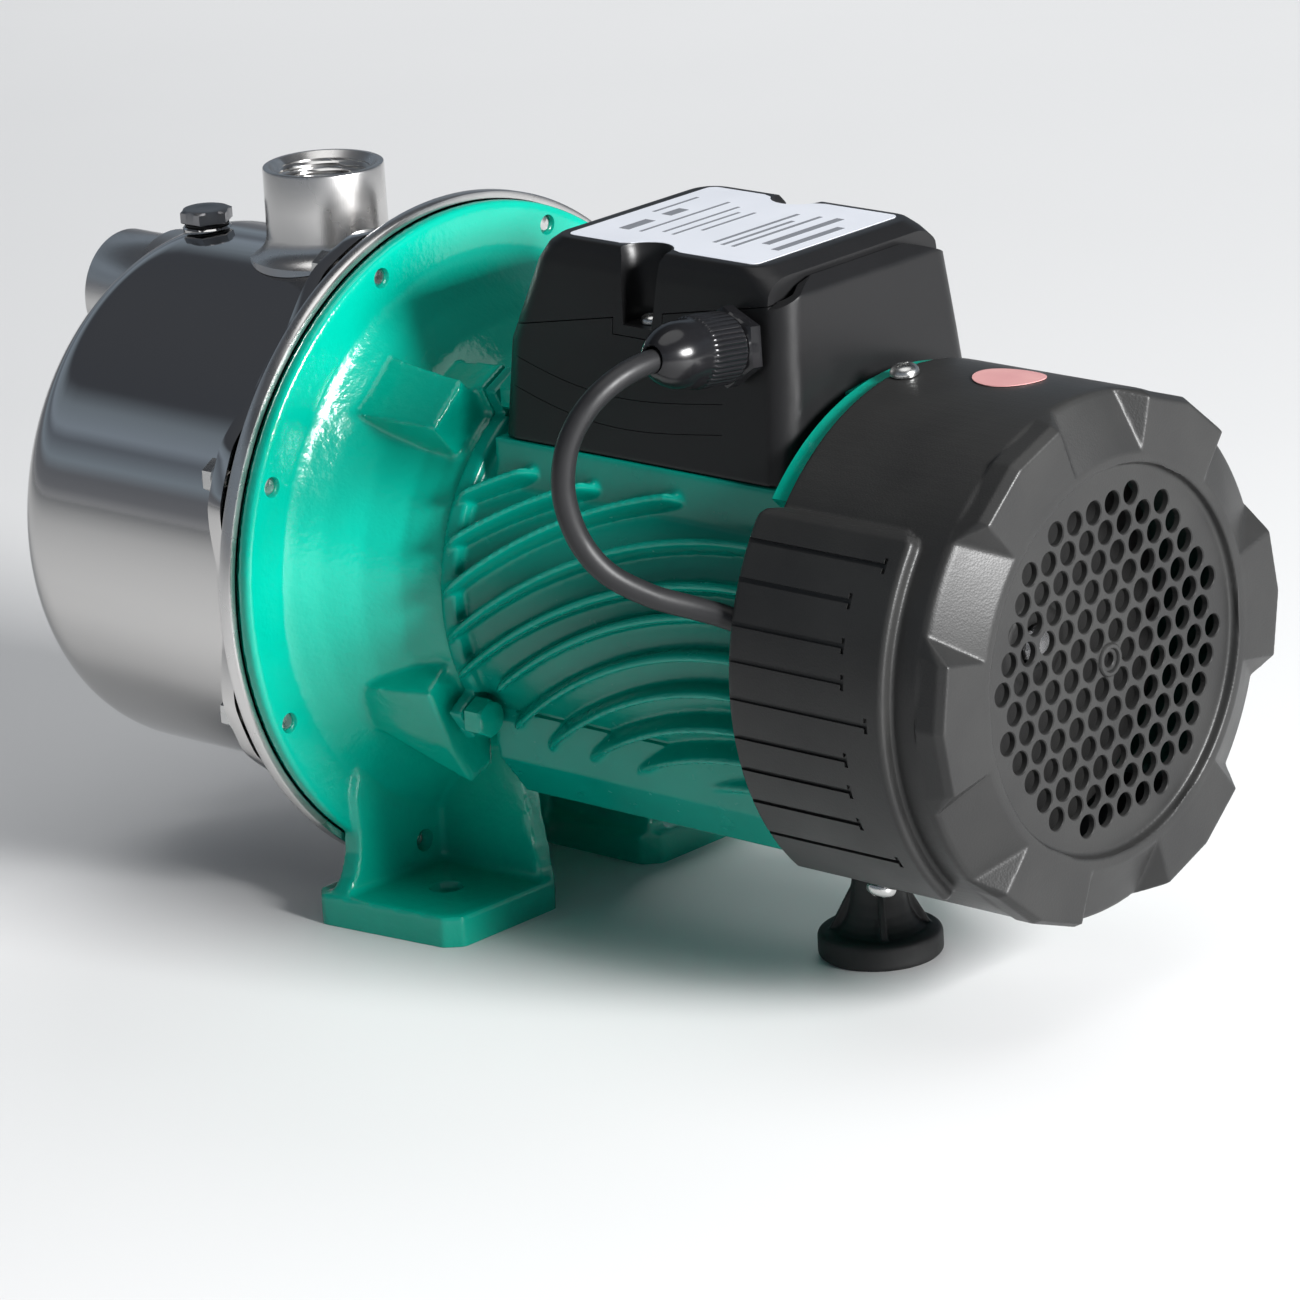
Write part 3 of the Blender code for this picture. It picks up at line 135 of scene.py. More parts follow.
# Cord: the route from the terminal box to the coil, then the coil itself
CORD_R = 3.5
COIL_CENTRE = (40, 168)
CORD_ROUTE = (
    (152, -34, 197), (152, -50, 199.1), (152, -66, 201.1),
    (151.8, -79, 201.9), (150.2, -90.6, 199.7), (147.4, -99.4, 194.2),
    (144.4, -104.9, 186.2), (142.4, -107.2, 176.8), (141.8, -107, 166),
    (144, -104, 153.5), (149.5, -99, 143.5), (158, -90.5, 136),
    (166, -82, 131.6), (173.6, -75.9, 128.2), (181, -72.6, 124.7),
    (188.4, -71.6, 120), (195.2, -71.7, 114.2), (200.9, -72.1, 107.3),
    (204.6, -72, 99.2), (206.1, -70.6, 90), (206.2, -67.4, 80.2),
    (205.5, -62, 70.5), (205, -54.6, 62), (204.5, -45.4, 54),
    (204, -35, 47.3), (203, -24, 42.5), (201, -12.5, 39.2),
    (197, -1.5, 37.2), (190.5, 8.5, 36.8), (182, 17.5, 37.6),
    (172, 25.5, 38.2), (162, 33, 35.4), (152.5, 40.5, 29.8),
    (143.5, 48, 22), (134.5, 56, 13.5), (125.5, 64.5, 7.2),
    (116, 74, 4.3), (107, 84.5, 3.6), (99, 96.5, 3.6),
    (93, 110, 3.6), (90.6, 124, 3.6), (89.9, 138, 3.6), (89.8, 153, 3.6),
    (89.8, 168, 3.6),
)
COIL_RADII, COIL_HEIGHTS = (42.2, 34.6), (3.7, 10.8)
COIL_TURNS, COIL_STEPS = 4, 24
PLUG_FRONT, PLUG_Y, PLUG_Z, RELIEF_END = -25, 217.9, 9.5, 33
TIE_Z, TIE_HALVES, TIE_THICK = 8.6, (9.4, 8.4), 1.1

# Light and floor, in metres and watts
AIM = (0, 0, 0.11)
KEY_AT, KEY_SIZE, KEY_POWER = (1.98, -0.02, 0.86), (0.7, 0.5), 112
BACK_AT, BACK_SIZE, BACK_POWER = (-1.1, 1.5, 1.2), (1.2, 1.2), 16
OVERHEAD_POWER, OVERHEAD_SPREAD = 0.8, math.radians(50)
FLOOR_HALF_MM, FLOOR_WHITE = 6000, (0.68, 0.68, 0.68)
# The surroundings, from the horizon up: height of the direction's unit vector, then colour
SKY = (
    (0, (0.3, 0.31, 0.33)), (0.05, (0.18, 0.19, 0.21)), (0.13, (0.15, 0.16, 0.18)),
    (0.2, (0.24, 0.29, 0.34)), (0.3, (0.13, 0.15, 0.18)), (0.36, (0.26, 0.31, 0.37)),
    (0.46, (0.2, 0.24, 0.28)), (0.54, (0.06, 0.066, 0.078)), (0.84, (0.07, 0.075, 0.085)),
    (0.9, (0.014, 0.016, 0.02)), (0.96, (0.02, 0.022, 0.025)), (0.985, (0.08, 0.08, 0.08)),
    (1, (0.09, 0.09, 0.088)),
)


# ---------------------------------------------------------------- mesh code

def put(name, data):
    """A new object in the scene, holding the data."""
    obj = bpy.data.objects.new(name, data)
    bpy.context.scene.collection.objects.link(obj)
    return obj


def solid(name, bm, smooth_angle=35):
    """A new object, in the row frame, of a mesh given in working millimetres."""
    bmesh.ops.recalc_face_normals(bm, faces=bm.faces)
    bmesh.ops.translate(bm, verts=bm.verts, vec=(START, 0, 0))
    bmesh.ops.scale(bm, verts=bm.verts, vec=(MM, MM, MM))
    mesh = bpy.data.meshes.new(name)
    bm.to_mesh(mesh)
    bm.free()
    shade(mesh, smooth_angle)
    return put(name, mesh)


def shade(mesh, smooth_angle):
    for face in mesh.polygons:
        face.use_smooth = True
    mesh.set_sharp_from_angle(angle=math.radians(smooth_angle))


def apply(obj, smooth_angle=35):
    graph = bpy.context.evaluated_depsgraph_get()
    mesh = bpy.data.meshes.new_from_object(obj.evaluated_get(graph))
    obj.modifiers.clear()
    obj.data = mesh
    shade(mesh, smooth_angle)
    return obj


def boolean(obj, bm, operation="DIFFERENCE", solver="MANIFOLD"):
    tool = bm if isinstance(bm, bpy.types.Object) else solid("tool", bm)
    modifier = obj.modifiers.new("boolean", "BOOLEAN")
    modifier.operation = operation
    modifier.solver = solver
    modifier.object = tool
    apply(obj)
    bpy.data.objects.remove(tool, do_unlink=True)


def soften(obj, voxel, rounds):
    """Joins overlapping shapes into one skin with rounded edges and fillets, as on a casting."""
    remesh = obj.modifiers.new("remesh", "REMESH")
    remesh.mode = "VOXEL"
    remesh.voxel_size = voxel * MM
    smooth = obj.modifiers.new("smooth", "SMOOTH")
    smooth.factor = 0.5
    smooth.iterations = rounds
    return apply(obj, 180)


def bevel(obj, width, segments):
    modifier = obj.modifiers.new("edges", "BEVEL")
    modifier.width = width * MM
    modifier.segments = segments
    modifier.limit_method = "ANGLE"
    modifier.angle_limit = math.radians(35)
    apply(obj, 40)


def axis_frame(origin, direction):
    """A matrix whose local +X is the direction, for turned pieces."""
    turn = Vector((1, 0, 0)).rotation_difference(Vector(direction).normalized())
    return Matrix.Translation(Vector(origin)) @ turn.to_matrix().to_4x4()


SHAFT = axis_frame((0, 0, AXIS_Z), (1, 0, 0))


def radius_at(point, turn):
    """A third number in a profile point makes that ring a polygon of so many flat sides."""
    if len(point) < 3 or point[1] == 0:
        return point[1]
    half = math.pi / point[2]
    return point[1] / math.cos((turn + half) % (2 * half) - half)


def turned(profile, steps, place=SHAFT, bm=None, ripple=None):
    """A turned solid: profile points are (distance along the axis, radius from it)."""
    bm = bm or bmesh.new()
    rings = []
    for point in profile:
        if point[1] == 0:
            rings.append([bm.verts.new(place @ Vector((point[0], 0, 0)))])
            continue
        ring = []
        for step in range(steps):
            turn = 2 * math.pi * step / steps
            r = radius_at(point, turn)
            if ripple:
                r += ripple(point[0], r, turn)
            ring.append(bm.verts.new(place @ Vector((point[0], r * math.cos(turn), r * math.sin(turn)))))
        rings.append(ring)
    for one, two in zip(rings, rings[1:] + rings[:1]):
        if len(one) == 1 and len(two) == 1:
            continue
        for step in range(steps):
            after = (step + 1) % steps
            corners = [one[step % len(one)], one[after % len(one)]]
            corners += [two[after % len(two)], two[step % len(two)]]
            bm.faces.new(list(dict.fromkeys(corners)))
    return bm


def rod(low, high, r):
    """The profile of a plain cylinder."""
    return [(low, 0), (low, r), (high, r), (high, 0)]


def prism(outline, low, high, place, bm=None):
    """A flat outline pushed from low to high; place turns (u, v, w) into working x, y, z."""
    bm = bm or bmesh.new()
    bottom = [bm.verts.new(place(u, v, low)) for u, v in outline]
    top = [bm.verts.new(place(u, v, high)) for u, v in outline]
    bm.faces.new(bottom)
    bm.faces.new(top)
    for i, corner in enumerate(bottom):
        j = (i + 1) % len(bottom)
        bm.faces.new((corner, bottom[j], top[j], top[i]))
    return bm


def across_x(u, v, w):
    return Vector((w, u, v))


def across_y(u, v, w):
    return Vector((u, w, v))


def across_z(u, v, w):
    return Vector((u, v, w))


def block(x, y, z, bm=None):
    outline = ((x[0], y[0]), (x[1], y[0]), (x[1], y[1]), (x[0], y[1]))
    return prism(outline, z[0], z[1], across_z, bm)


def hull(points, bm=None):
    """A convex solid round the points, built apart so that its corners join nothing else."""
    own = bmesh.new()
    verts = [own.verts.new(Vector(point)) for point in points]
    made = bmesh.ops.convex_hull(own, input=verts)
    unused = [v for v in made["geom_interior"] if isinstance(v, bmesh.types.BMVert)]
    bmesh.ops.delete(own, geom=unused, context="VERTS")
    if bm is None:
        return own
    mesh = bpy.data.meshes.new("hull")
    own.to_mesh(mesh)
    own.free()
    bm.from_mesh(mesh)
    bpy.data.meshes.remove(mesh)
    return bm


def polar(r, degrees, x=0):
    turn = math.radians(degrees)
    return Vector((x, r * math.cos(turn), AXIS_Z + r * math.sin(turn)))


def radial_block(degrees, front, back, bm=None):
    """A block standing out from the shaft axis: front and back are (x, r low, r high, half width)."""
    turn = math.radians(degrees)
    out = Vector((0, math.cos(turn), math.sin(turn)))
    side = Vector((0, -math.sin(turn), math.cos(turn)))
    centre = Vector((0, 0, AXIS_Z))
    points = []
    for x, low, high, half in (front, back):
        for r in (low, high):
            for offset in (-half, half):
                points.append(centre + Vector((x, 0, 0)) + out * r + side * offset)
    return hull(points, bm)


def sector(r_low, r_high, x, angles, steps, bm=None):
    """Part of a ring about the shaft axis."""
    span = [angles[0] + (angles[1] - angles[0]) * i / steps for i in range(steps + 1)]
    outline = [(polar(r_high, a).y, polar(r_high, a).z) for a in span]
    outline += [(polar(r_low, a).y, polar(r_low, a).z) for a in reversed(span)]
    return prism(outline, x[0], x[1], across_x, bm)


def loft(rings, bm):
    for one, two in zip(rings, rings[1:]):
        for i in range(len(one)):
            j = (i + 1) % len(one)
            bm.faces.new((one[i], one[j], two[j], two[i]))
    bm.faces.new(rings[0])
    bm.faces.new(rings[-1])
    return bm


def radial_frame(x, degrees):
    return axis_frame((x, 0, AXIS_Z), polar(1, degrees) - polar(0, degrees))


def upright(x, y=0):
    return axis_frame((x, y, 0), (0, 0, 1))


def level(z, sign=1):
    return axis_frame((0, 0, z), (sign, 0, 0))


def beside(r, degrees):
    """A frame whose axis runs along the shaft's, at this radius and angle."""
    return axis_frame(polar(r, degrees), (1, 0, 0))


def screw_place(index):
    return beside(SCREW_CIRCLE, 22.5 + 45 * index)


# ---------------------------------------------------------------- materials

class Surface:
    """A Principled material; each step below adds nodes for its colour, gloss or relief."""

    def __init__(self, name, colour, metallic, roughness):
        self.made = bpy.data.materials.new(name)
        self.made.use_nodes = True
        self.tree = self.made.node_tree
        self.shader = self.tree.nodes["Principled BSDF"]
        self.set("Base Color", (*colour, 1))
        self.set("Metallic", metallic)
        self.set("Roughness", roughness)
        self.place = self.tree.nodes.new("ShaderNodeTexCoord").outputs["Object"]
        self.height = None

    def set(self, socket, value):
        self.shader.inputs[socket].default_value = value

    def specular(self, level):
        self.set("Specular IOR Level", level)

    def coat(self, weight, roughness):
        self.set("Coat Weight", weight)
        self.set("Coat Roughness", roughness)

    def node(self, kind, **sockets):
        made = self.tree.nodes.new("ShaderNode" + kind)
        for key, value in sockets.items():
            made.inputs[key.replace("_", " ")].default_value = value
        return made

    def link(self, one, two):
        self.tree.links.new(one, two)

    def noise(self, scale, detail, stretch=None):
        place = self.place
        if stretch:
            mapping = self.node("Mapping", Scale=stretch)
            self.link(place, mapping.inputs["Vector"])
            place = mapping.outputs["Vector"]
        noise = self.node("TexNoise", Scale=scale, Detail=detail)
        self.link(place, noise.inputs["Vector"])
        return noise.outputs["Fac"]

    def colours(self, scale, detail, *stops):
        ramp = self.node("ValToRGB")
        for element, (position, colour) in zip(ramp.color_ramp.elements, stops):
            element.position = position
            element.color = (*colour, 1)
        self.link(self.noise(scale, detail), ramp.inputs["Fac"])
        self.link(ramp.outputs["Color"], self.shader.inputs["Base Color"])

    def rough(self, lowest, highest, *noise):
        node = self.node("MapRange", From_Min=0.3, From_Max=0.7, To_Min=lowest, To_Max=highest)
        self.link(self.noise(*noise), node.inputs["Value"])
        self.link(node.outputs["Result"], self.shader.inputs["Roughness"])

    def bump(self, value, depth_mm, strength):
        node = self.node("Bump", Strength=strength, Distance=depth_mm * MM)
        self.link(value, node.inputs["Height"])
        if self.height:
            self.link(self.height, node.inputs["Normal"])
        self.height = node.outputs["Normal"]
        self.link(self.height, self.shader.inputs["Normal"])

    def relief(self, depth_mm, strength, *noise):
        self.bump(self.noise(*noise), depth_mm, strength)

    def pebbles(self, depth_mm, strength, scale):
        cells = self.node("TexVoronoi", Scale=scale)
        self.link(self.place, cells.inputs["Vector"])
        self.bump(cells.outputs["Distance"], depth_mm, strength)

    def lines(self, depth_mm, strength, scale, distortion):
        wave = self.node("TexWave", Scale=scale, Distortion=distortion)
        self.link(self.place, wave.inputs["Vector"])
        self.bump(wave.outputs["Fac"], depth_mm, strength)


# Each material: its name, colour, metallic and roughness, then the steps of a Surface. The last
# numbers of rough and relief, and the first of colours, are a noise: scale, detail and stretch
LOOKS = {
    "stainless": ("polished_steel", (0.6, 0.59, 0.58), 1, 0.07, ("rough", 0.045, 0.12, 9, 3),
        ("relief", 0.05, 0.25, 60, 2, (0.25, 1, 1))),
    "green_paint": ("cast_enamel", (0, 0.36, 0.25), 0, 0.24, ("specular", 0.4),
        ("coat", 0.15, 0.12),
        ("colours", 18, 4, (0.3, (0, 0.31, 0.22)), (0.7, (0, 0.36, 0.262))),
        ("rough", 0.13, 0.22, 120, 3), ("relief", 0.35, 0.5, 330, 2),
        ("relief", 0.12, 0.5, 900, 2)),
    "green_enamel": ("housing_enamel", (0, 0.3, 0.21), 0, 0.33, ("specular", 0.35),
        ("colours", 25, 3, (0.3, (0, 0.235, 0.175)), (0.7, (0, 0.275, 0.205))),
        ("rough", 0.16, 0.28, 160, 3), ("relief", 0.12, 0.5, 420, 2)),
    "black_plastic": ("grained_plastic", (0.02, 0.02, 0.021), 0, 0.48, ("specular", 0.32),
        ("colours", 30, 3, (0.35, (0.016, 0.016, 0.016)), (0.65, (0.021, 0.021, 0.0205))),
        ("rough", 0.36, 0.46, 45, 4), ("pebbles", 0.08, 0.35, 1500)),
    "box_plastic": ("box_plastic", (0.0085, 0.0085, 0.009), 0, 0.36, ("specular", 0.28),
        ("rough", 0.3, 0.44, 35, 4), ("relief", 0.05, 0.3, 1400, 2),
        ("relief", 0.25, 0.2, 26, 3, (0.6, 1, 2.4))),
    "gland_plastic": ("gland_plastic", (0.008, 0.008, 0.009), 0, 0.17, ("specular", 0.4),
        ("rough", 0.13, 0.24, 80, 3), ("relief", 0.03, 0.3, 300, 2)),
    "rubber": ("rubber", (0.011, 0.011, 0.011), 0, 0.62, ("rough", 0.5, 0.75, 90, 4),
        ("relief", 0.08, 0.4, 700, 3)),
    "cord_black": ("cord_sheath", (0.014, 0.014, 0.015), 0, 0.42, ("specular", 0.3),
        ("rough", 0.36, 0.5, 120, 4), ("relief", 0.05, 0.3, 900, 2)),
    "zinc_steel": ("zinc_steel", (0.58, 0.58, 0.57), 1, 0.28, ("rough", 0.18, 0.4, 200, 4),
        ("relief", 0.02, 0.5, 1500, 2)),
    "rim_steel": ("flange_steel", (0.66, 0.65, 0.64), 1, 0.24, ("rough", 0.18, 0.34, 40, 4),
        ("lines", 0.02, 0.3, 700, 2)),
    "dark_steel": ("plug_steel", (0.3, 0.3, 0.31), 1, 0.34, ("rough", 0.28, 0.46, 150, 4),
        ("relief", 0.03, 0.4, 800, 2)),
    "bearing_steel": ("ground_steel", (0.5, 0.5, 0.51), 1, 0.2,
        ("rough", 0.14, 0.3, 60, 4, (8, 1, 1))),
    "laminations": ("laminations", (0.2, 0.2, 0.21), 0.7, 0.5, ("lines", 0.1, 0.6, 310, 0)),
    "copper_winding": ("enamelled_copper", (0.42, 0.15, 0.05), 0.4, 0.35, ("lines", 0.3, 0.8, 180, 1.5)),
    "engineering_plastic": ("filled_plastic", (0.22, 0.22, 0.2), 0, 0.5, ("relief", 0.06, 0.4, 500, 3)),
    "brass": ("machined_brass", (0.72, 0.5, 0.2), 1, 0.28, ("rough", 0.2, 0.38, 70, 4)),
    "label_white": ("label_film", (0.62, 0.64, 0.69), 0, 0.38, ("rough", 0.32, 0.45, 50, 3)),
    "ink": ("label_ink", (0.16, 0.17, 0.19), 0, 0.5, ("rough", 0.45, 0.6, 90, 3)),
    "sticker_pink": ("sticker_paper", (0.74, 0.27, 0.25), 0, 0.5,
        ("colours", 70, 3, (0.3, (0.5, 0.23, 0.23)), (0.7, (0.56, 0.28, 0.27)))),
    "ceramic": ("ground_ceramic", (0.78, 0.76, 0.7), 0, 0.25, ("rough", 0.2, 0.32, 90, 3)),
    "capacitor_case": ("capacitor_case", (0.66, 0.66, 0.63), 0, 0.4, ("rough", 0.34, 0.5, 60, 3)),
}


def surface(name, colour, metallic, roughness, *steps):
    made = Surface(name, colour, metallic, roughness)
    for step, *numbers in steps:
        getattr(made, step)(*numbers)
    return made.made


MATERIALS = {key: surface(*look) for key, look in LOOKS.items()}
SLOTS = {row["node"]: row["material_slot"] for row in frame["record"]["subparts"]}
for node_name, node_object in frame["nodes"].items():
    node_object.data.materials.clear()
    node_object.data.materials.append(MATERIALS[SLOTS[node_name]])


def show(obj, node, material, body="pump"):
    """Gives a finished piece its material and its body, and hides the CAD node that it stands for."""
    obj.data.materials.clear()
    obj.data.materials.append(MATERIALS[material])
    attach(obj, body)
    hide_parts(node)
    return obj


def detail(node, bm, material, body="pump", smooth_angle=35):
    return show(solid(node + "_detail", bm, smooth_angle), node, material, body)


# ---------------------------------------------------------------- shapes used by many pieces

def arc(x, r, size, start, end, steps):
    """Points of an arc in a turned profile, about (x, r)."""
    points = []
    for step in range(steps + 1):
        turn = math.radians(start + (end - start) * step / steps)
        points.append((x + size * math.cos(turn), r + size * math.sin(turn)))
    return points


def thread(pitch, depth):
    """A ripple for turned(): a helical saw-tooth."""
    def ripple(x, r, turn):
        part = (x / pitch - turn / (2 * math.pi)) % 1
        return depth * (1 - abs(2 * part - 1))
    return ripple


def thread_profile(start, end, r, per_pitch=0.4):
    count = max(2, round(abs(end - start) / per_pitch))
    return [(start + (end - start) * i / count, r) for i in range(count + 1)]


def mirrored(angle):
    return 180 - angle


def pan_head(low, r, height, place, bm=None):
    profile = [(low, 0), (low, r), (low + 0.5, r)]
    for step in range(1, 9):
        turn = math.radians(90 * step / 8)
        profile.append((low + 0.5 + (height - 0.5) * math.sin(turn), max(0, r * math.cos(turn) ** 0.7)))
    profile[-1] = (low + height, 0)
    return turned(profile, 40, place, bm)


def cut_cross(screw, top, depth, reach, place):
    """Cuts a cross slot, narrowing to its floor, in a screw head."""
    for flip in (False, True):
        points = []
        for x, half_long, half_wide in ((top - depth, reach * 0.35, 0.35), (top + 1, reach * 1.25, 0.62)):
            for u in (-half_long, half_long):
                for v in (-half_wide, half_wide):
                    local = (x, v, u) if flip else (x, u, v)
                    points.append(place @ Vector(local))
        boolean(screw, hull(points))


def machine_screw(node, place, low, r, height, shank, end):
    """A pan-head screw with a cross slot, its shank running down to end."""
    screw = solid(node + "_detail", pan_head(low, r, height, place))
    boolean(screw, turned(rod(end, low + 0.4, shank), 30, place), "UNION")
    cut_cross(screw, low + height, height * 0.6, r * 0.62, place)
    return show(screw, node, "zinc_steel")


# ---------------------------------------------------------------- casing, sockets and plugs

def dome_profile(offset, steps):
    """The casing's outside, from the middle of its domed end to the start of its straight wall."""
    points = []
    for step in range(steps + 1):
        turn = math.radians(90 * step / steps)
        reach = math.cos(turn) ** (2 / DOME_POWER)
        x = DOME_START + (DOME_END - offset - DOME_START) * reach
        r = (TANK_R + offset) * math.sin(turn) ** (2 / DOME_POWER)
        points.append((x, 0 if step == 0 else r))
    return points


def tank_solid(offset, back):
    return turned(dome_profile(offset, 40) + [(back, TANK_R + offset), (back, 0)], 144)


def make_casing():
    outer = dome_profile(0, 48)
    inner = list(reversed(dome_profile(-SHEET, 24)))
    wall = [(-60, TANK_R), (-14, TANK_R), (-8, TANK_R), (-6, 83.95), (-4.2, 84.6), (-3, 85.7)]
    wall += [(-2.4, 87), (-2.2, 88.5), (-2.2, 101), (-2.4, 101.8), (-3, 102.2), (-4.3, 102.3)]
    wall += [(-4.5, 102.6), (-4.5, 103.4), (-4.3, 103.7), (0, 103.7)]
    wall += [(0, 84.5), (-3, TANK_R - SHEET)]
    casing = solid("pump_casing_detail", turned(outer + wall + inner, 192))
    boss = [(183, 0), (183, 7.8), (191.8, 7.8), (192.3, 7.3), (192.3, 0)]
    boolean(casing, turned(boss, 64, upright(PRIMING_X)), "UNION")
    boss = [(112, 0), (112, 13), (121.6, 13)] + arc(125, 13, 3.4, 180, 270, 6)
    boss += [(125, 9.3), (125, 0)]
    boolean(casing, turned(boss, 64, level(DRAIN_Z, -1)), "UNION")
    holes = bmesh.new()
    for x, r in ((OUTLET_X, 17), (PRIMING_X, 5.5)):
        turned(rod(170, 200, r), 48, upright(x), holes)
    for z, r, end in ((SUCTION_Z, 16.5, -114.3), (DRAIN_Z, 5.3, -108)):
        turned(rod(-140, end, r), 48, level(z), holes)
    for index in range(SCREW_COUNT):
        turned(rod(-8, 3, 3.5), 24, screw_place(index), holes)
    boolean(casing, holes)
    show(casing, "pump_casing", "stainless")
    rim = [(-4.6, 102.9), (-4.9, 103.6), (-4.9, 105.2), (-4.5, 105.8), (-3.9, FLANGE_R)]
    rim += [(-0.6, FLANGE_R), (-0.15, 105.7), (0, 105.1), (0, 102.9)]
    detail("pump_casing", turned(rim, 192), "rim_steel").name = "casing_rim_detail"


def make_ports():
    flare = [(197.5, PORT_R + 0.15)] + arc(197.5, PORT_R + 7.6, 7.4, 258, 196, 8)
    profile = [(OUTLET_TOP, PORT_BORE + 1.9), (OUTLET_TOP, PORT_R - 0.7), (OUTLET_TOP - 0.25, PORT_R - 0.15)]
    profile += [(OUTLET_TOP - 0.8, PORT_R), (206, PORT_R + 0.05)] + flare
    profile += [(182, 26.8), (182, PORT_BORE + 0.8), (188, PORT_BORE + 0.8)]
    profile += thread_profile(188.5, OUTLET_TOP - 2, PORT_BORE - 0.6)
    bore = thread(2.31, 1.15)

    def outlet_ripple(x, r, turn):
        return bore(x, r, turn) if r < PORT_BORE and 188.4 < x else 0

    socket = turned(profile, 96, upright(OUTLET_X), ripple=outlet_ripple)
    outlet = solid("outlet_socket_detail", socket, CRISP)
    boolean(outlet, tank_solid(0.15, -10))
    show(outlet, "outlet_socket", "rim_steel")
    end = SUCTION_END
    profile = [(end, PORT_BORE + 1.9), (end, PORT_R - 0.9), (end + 0.3, PORT_R - 0.25), (end + 0.9, PORT_R)]
    profile += [(-127.5, PORT_R)] + arc(-127.5, PORT_R + 3, 3, 270, 350, 6)
    profile += [(-108, PORT_R + 3), (-108, PORT_BORE + 0.8), (-122.5, PORT_BORE + 0.8)]
    profile += thread_profile(-123, end + 2, PORT_BORE - 0.6)

    def suction_ripple(x, r, turn):
        return bore(x, r, turn) if r < PORT_BORE and x < -122.9 else 0

    socket = turned(profile, 96, level(SUCTION_Z), ripple=suction_ripple)
    suction = solid("suction_socket_detail", socket, CRISP)
    boolean(suction, tank_solid(0.15, -60))
    show(suction, "suction_socket", "rim_steel")


def make_plugs():
    seal = [(192.6, 5.5), (192.6, 6.9), (192.75, 7.1), (193.15, 7.1), (193.3, 6.9), (193.3, 5.5)]
    detail("priming_plug_seal", turned(seal, 64, upright(PRIMING_X)), "rubber")
    low, high, flat = 193.6, 197.8, 7.4
    profile = [(183, 0), (183, 4.5), (184, 5.1), (low, 5.1), (low, flat - 0.3, 6)]
    profile += [(low + 0.3, flat, 6), (high - 0.7, flat, 6), (high - 0.15, flat - 0.1), (high, flat - 0.6)]
    profile += [(high - 0.05, flat * 0.5), (high - 0.2, flat * 0.42), (high - 0.2, 0)]
    plug = turned(profile, 72, upright(PRIMING_X))
    detail("priming_plug", plug, "dark_steel", "priming_plug_body", CRISP)
    along = level(DRAIN_Z, -1)
    seal = [(125.3, 5.4), (125.3, 8.3), (125.6, 8.6), (126, 8.6), (126.3, 8.3), (126.3, 5.4)]
    detail("drain_plug_seal", turned(seal, 64, along), "rubber")
    profile = [(113, 0), (113, 4.5), (114, 5), (126.6, 5), (126.6, 8.1, 6), (127, 8.5, 6)]
    profile += [(131, 8.5, 6), (131.8, 8.4), (132, 7.7), (131.9, 5.2), (131.5, 4.6), (131.5, 0)]
    detail("drain_plug", turned(profile, 72, along), "dark_steel", "drain_plug_body", CRISP)


def make_clamp_ring():
    outline = []
    for step in range(256):
        angle = 360 * step / 256
        wave = math.cos(math.radians(SCREW_COUNT * (angle - 22.5)))
        r = 101.6 + 3.4 * max(-0.8, min(1, wave * 1.3))
        outline.append((polar(r, angle).y, polar(r, angle).z))
    ring = solid("casing_clamp_ring_detail", prism(outline, -12.4, -7.2, across_x))
    hub = [(-12, 80), (-12, 92), (-11.3, 93), (-4.5, 93), (-2.9, 92.2), (-2.5, 91), (-2.5, 80)]
    boolean(ring, turned(hub, 144), "UNION")
    bore = turned([(-20, 0), (-20, 84.2), (-7, 84.2), (-1, 88), (-1, 0)], 144)
    for index in range(SCREW_COUNT):
        turned(rod(-21, -5, 3.5), 24, screw_place(index), bore)
    boolean(ring, bore)
    bevel(ring, 0.6, 3)
    show(ring, "casing_clamp_ring", "stainless")
    make_casing_screws()


def make_casing_screws():
    helix = thread(1, 0.35)
    shank = 2.5
    profile = [(-20, 0), (-20, 3.1), (-19.6, 3.3), (-20, 4.1), (-19.9, 4.5), (-19.2, 4.9, 6)]
    profile += [(-14.9, 4.9, 6), (-14.6, 4.7, 6), (-14.6, 6.3), (-14.3, 6.6), (-12.9, 6.6)]
    profile += [(-12.6, 6.3), (-12.6, 2.6)] + thread_profile(-12.4, 3.8, shank, 0.5)
    profile += [(4.2, 1.9), (4.2, 0)]

    def ripple(x, r, turn):
        return helix(x, r, turn) if abs(r - shank) < 0.01 else 0

    for index in range(SCREW_COUNT):
        screw = turned(profile, 24, screw_place(index), ripple=ripple)
        detail("casing_screw_%d" % (index + 1), screw, "zinc_steel", smooth_angle=CRISP)


# ---------------------------------------------------------------- bracket

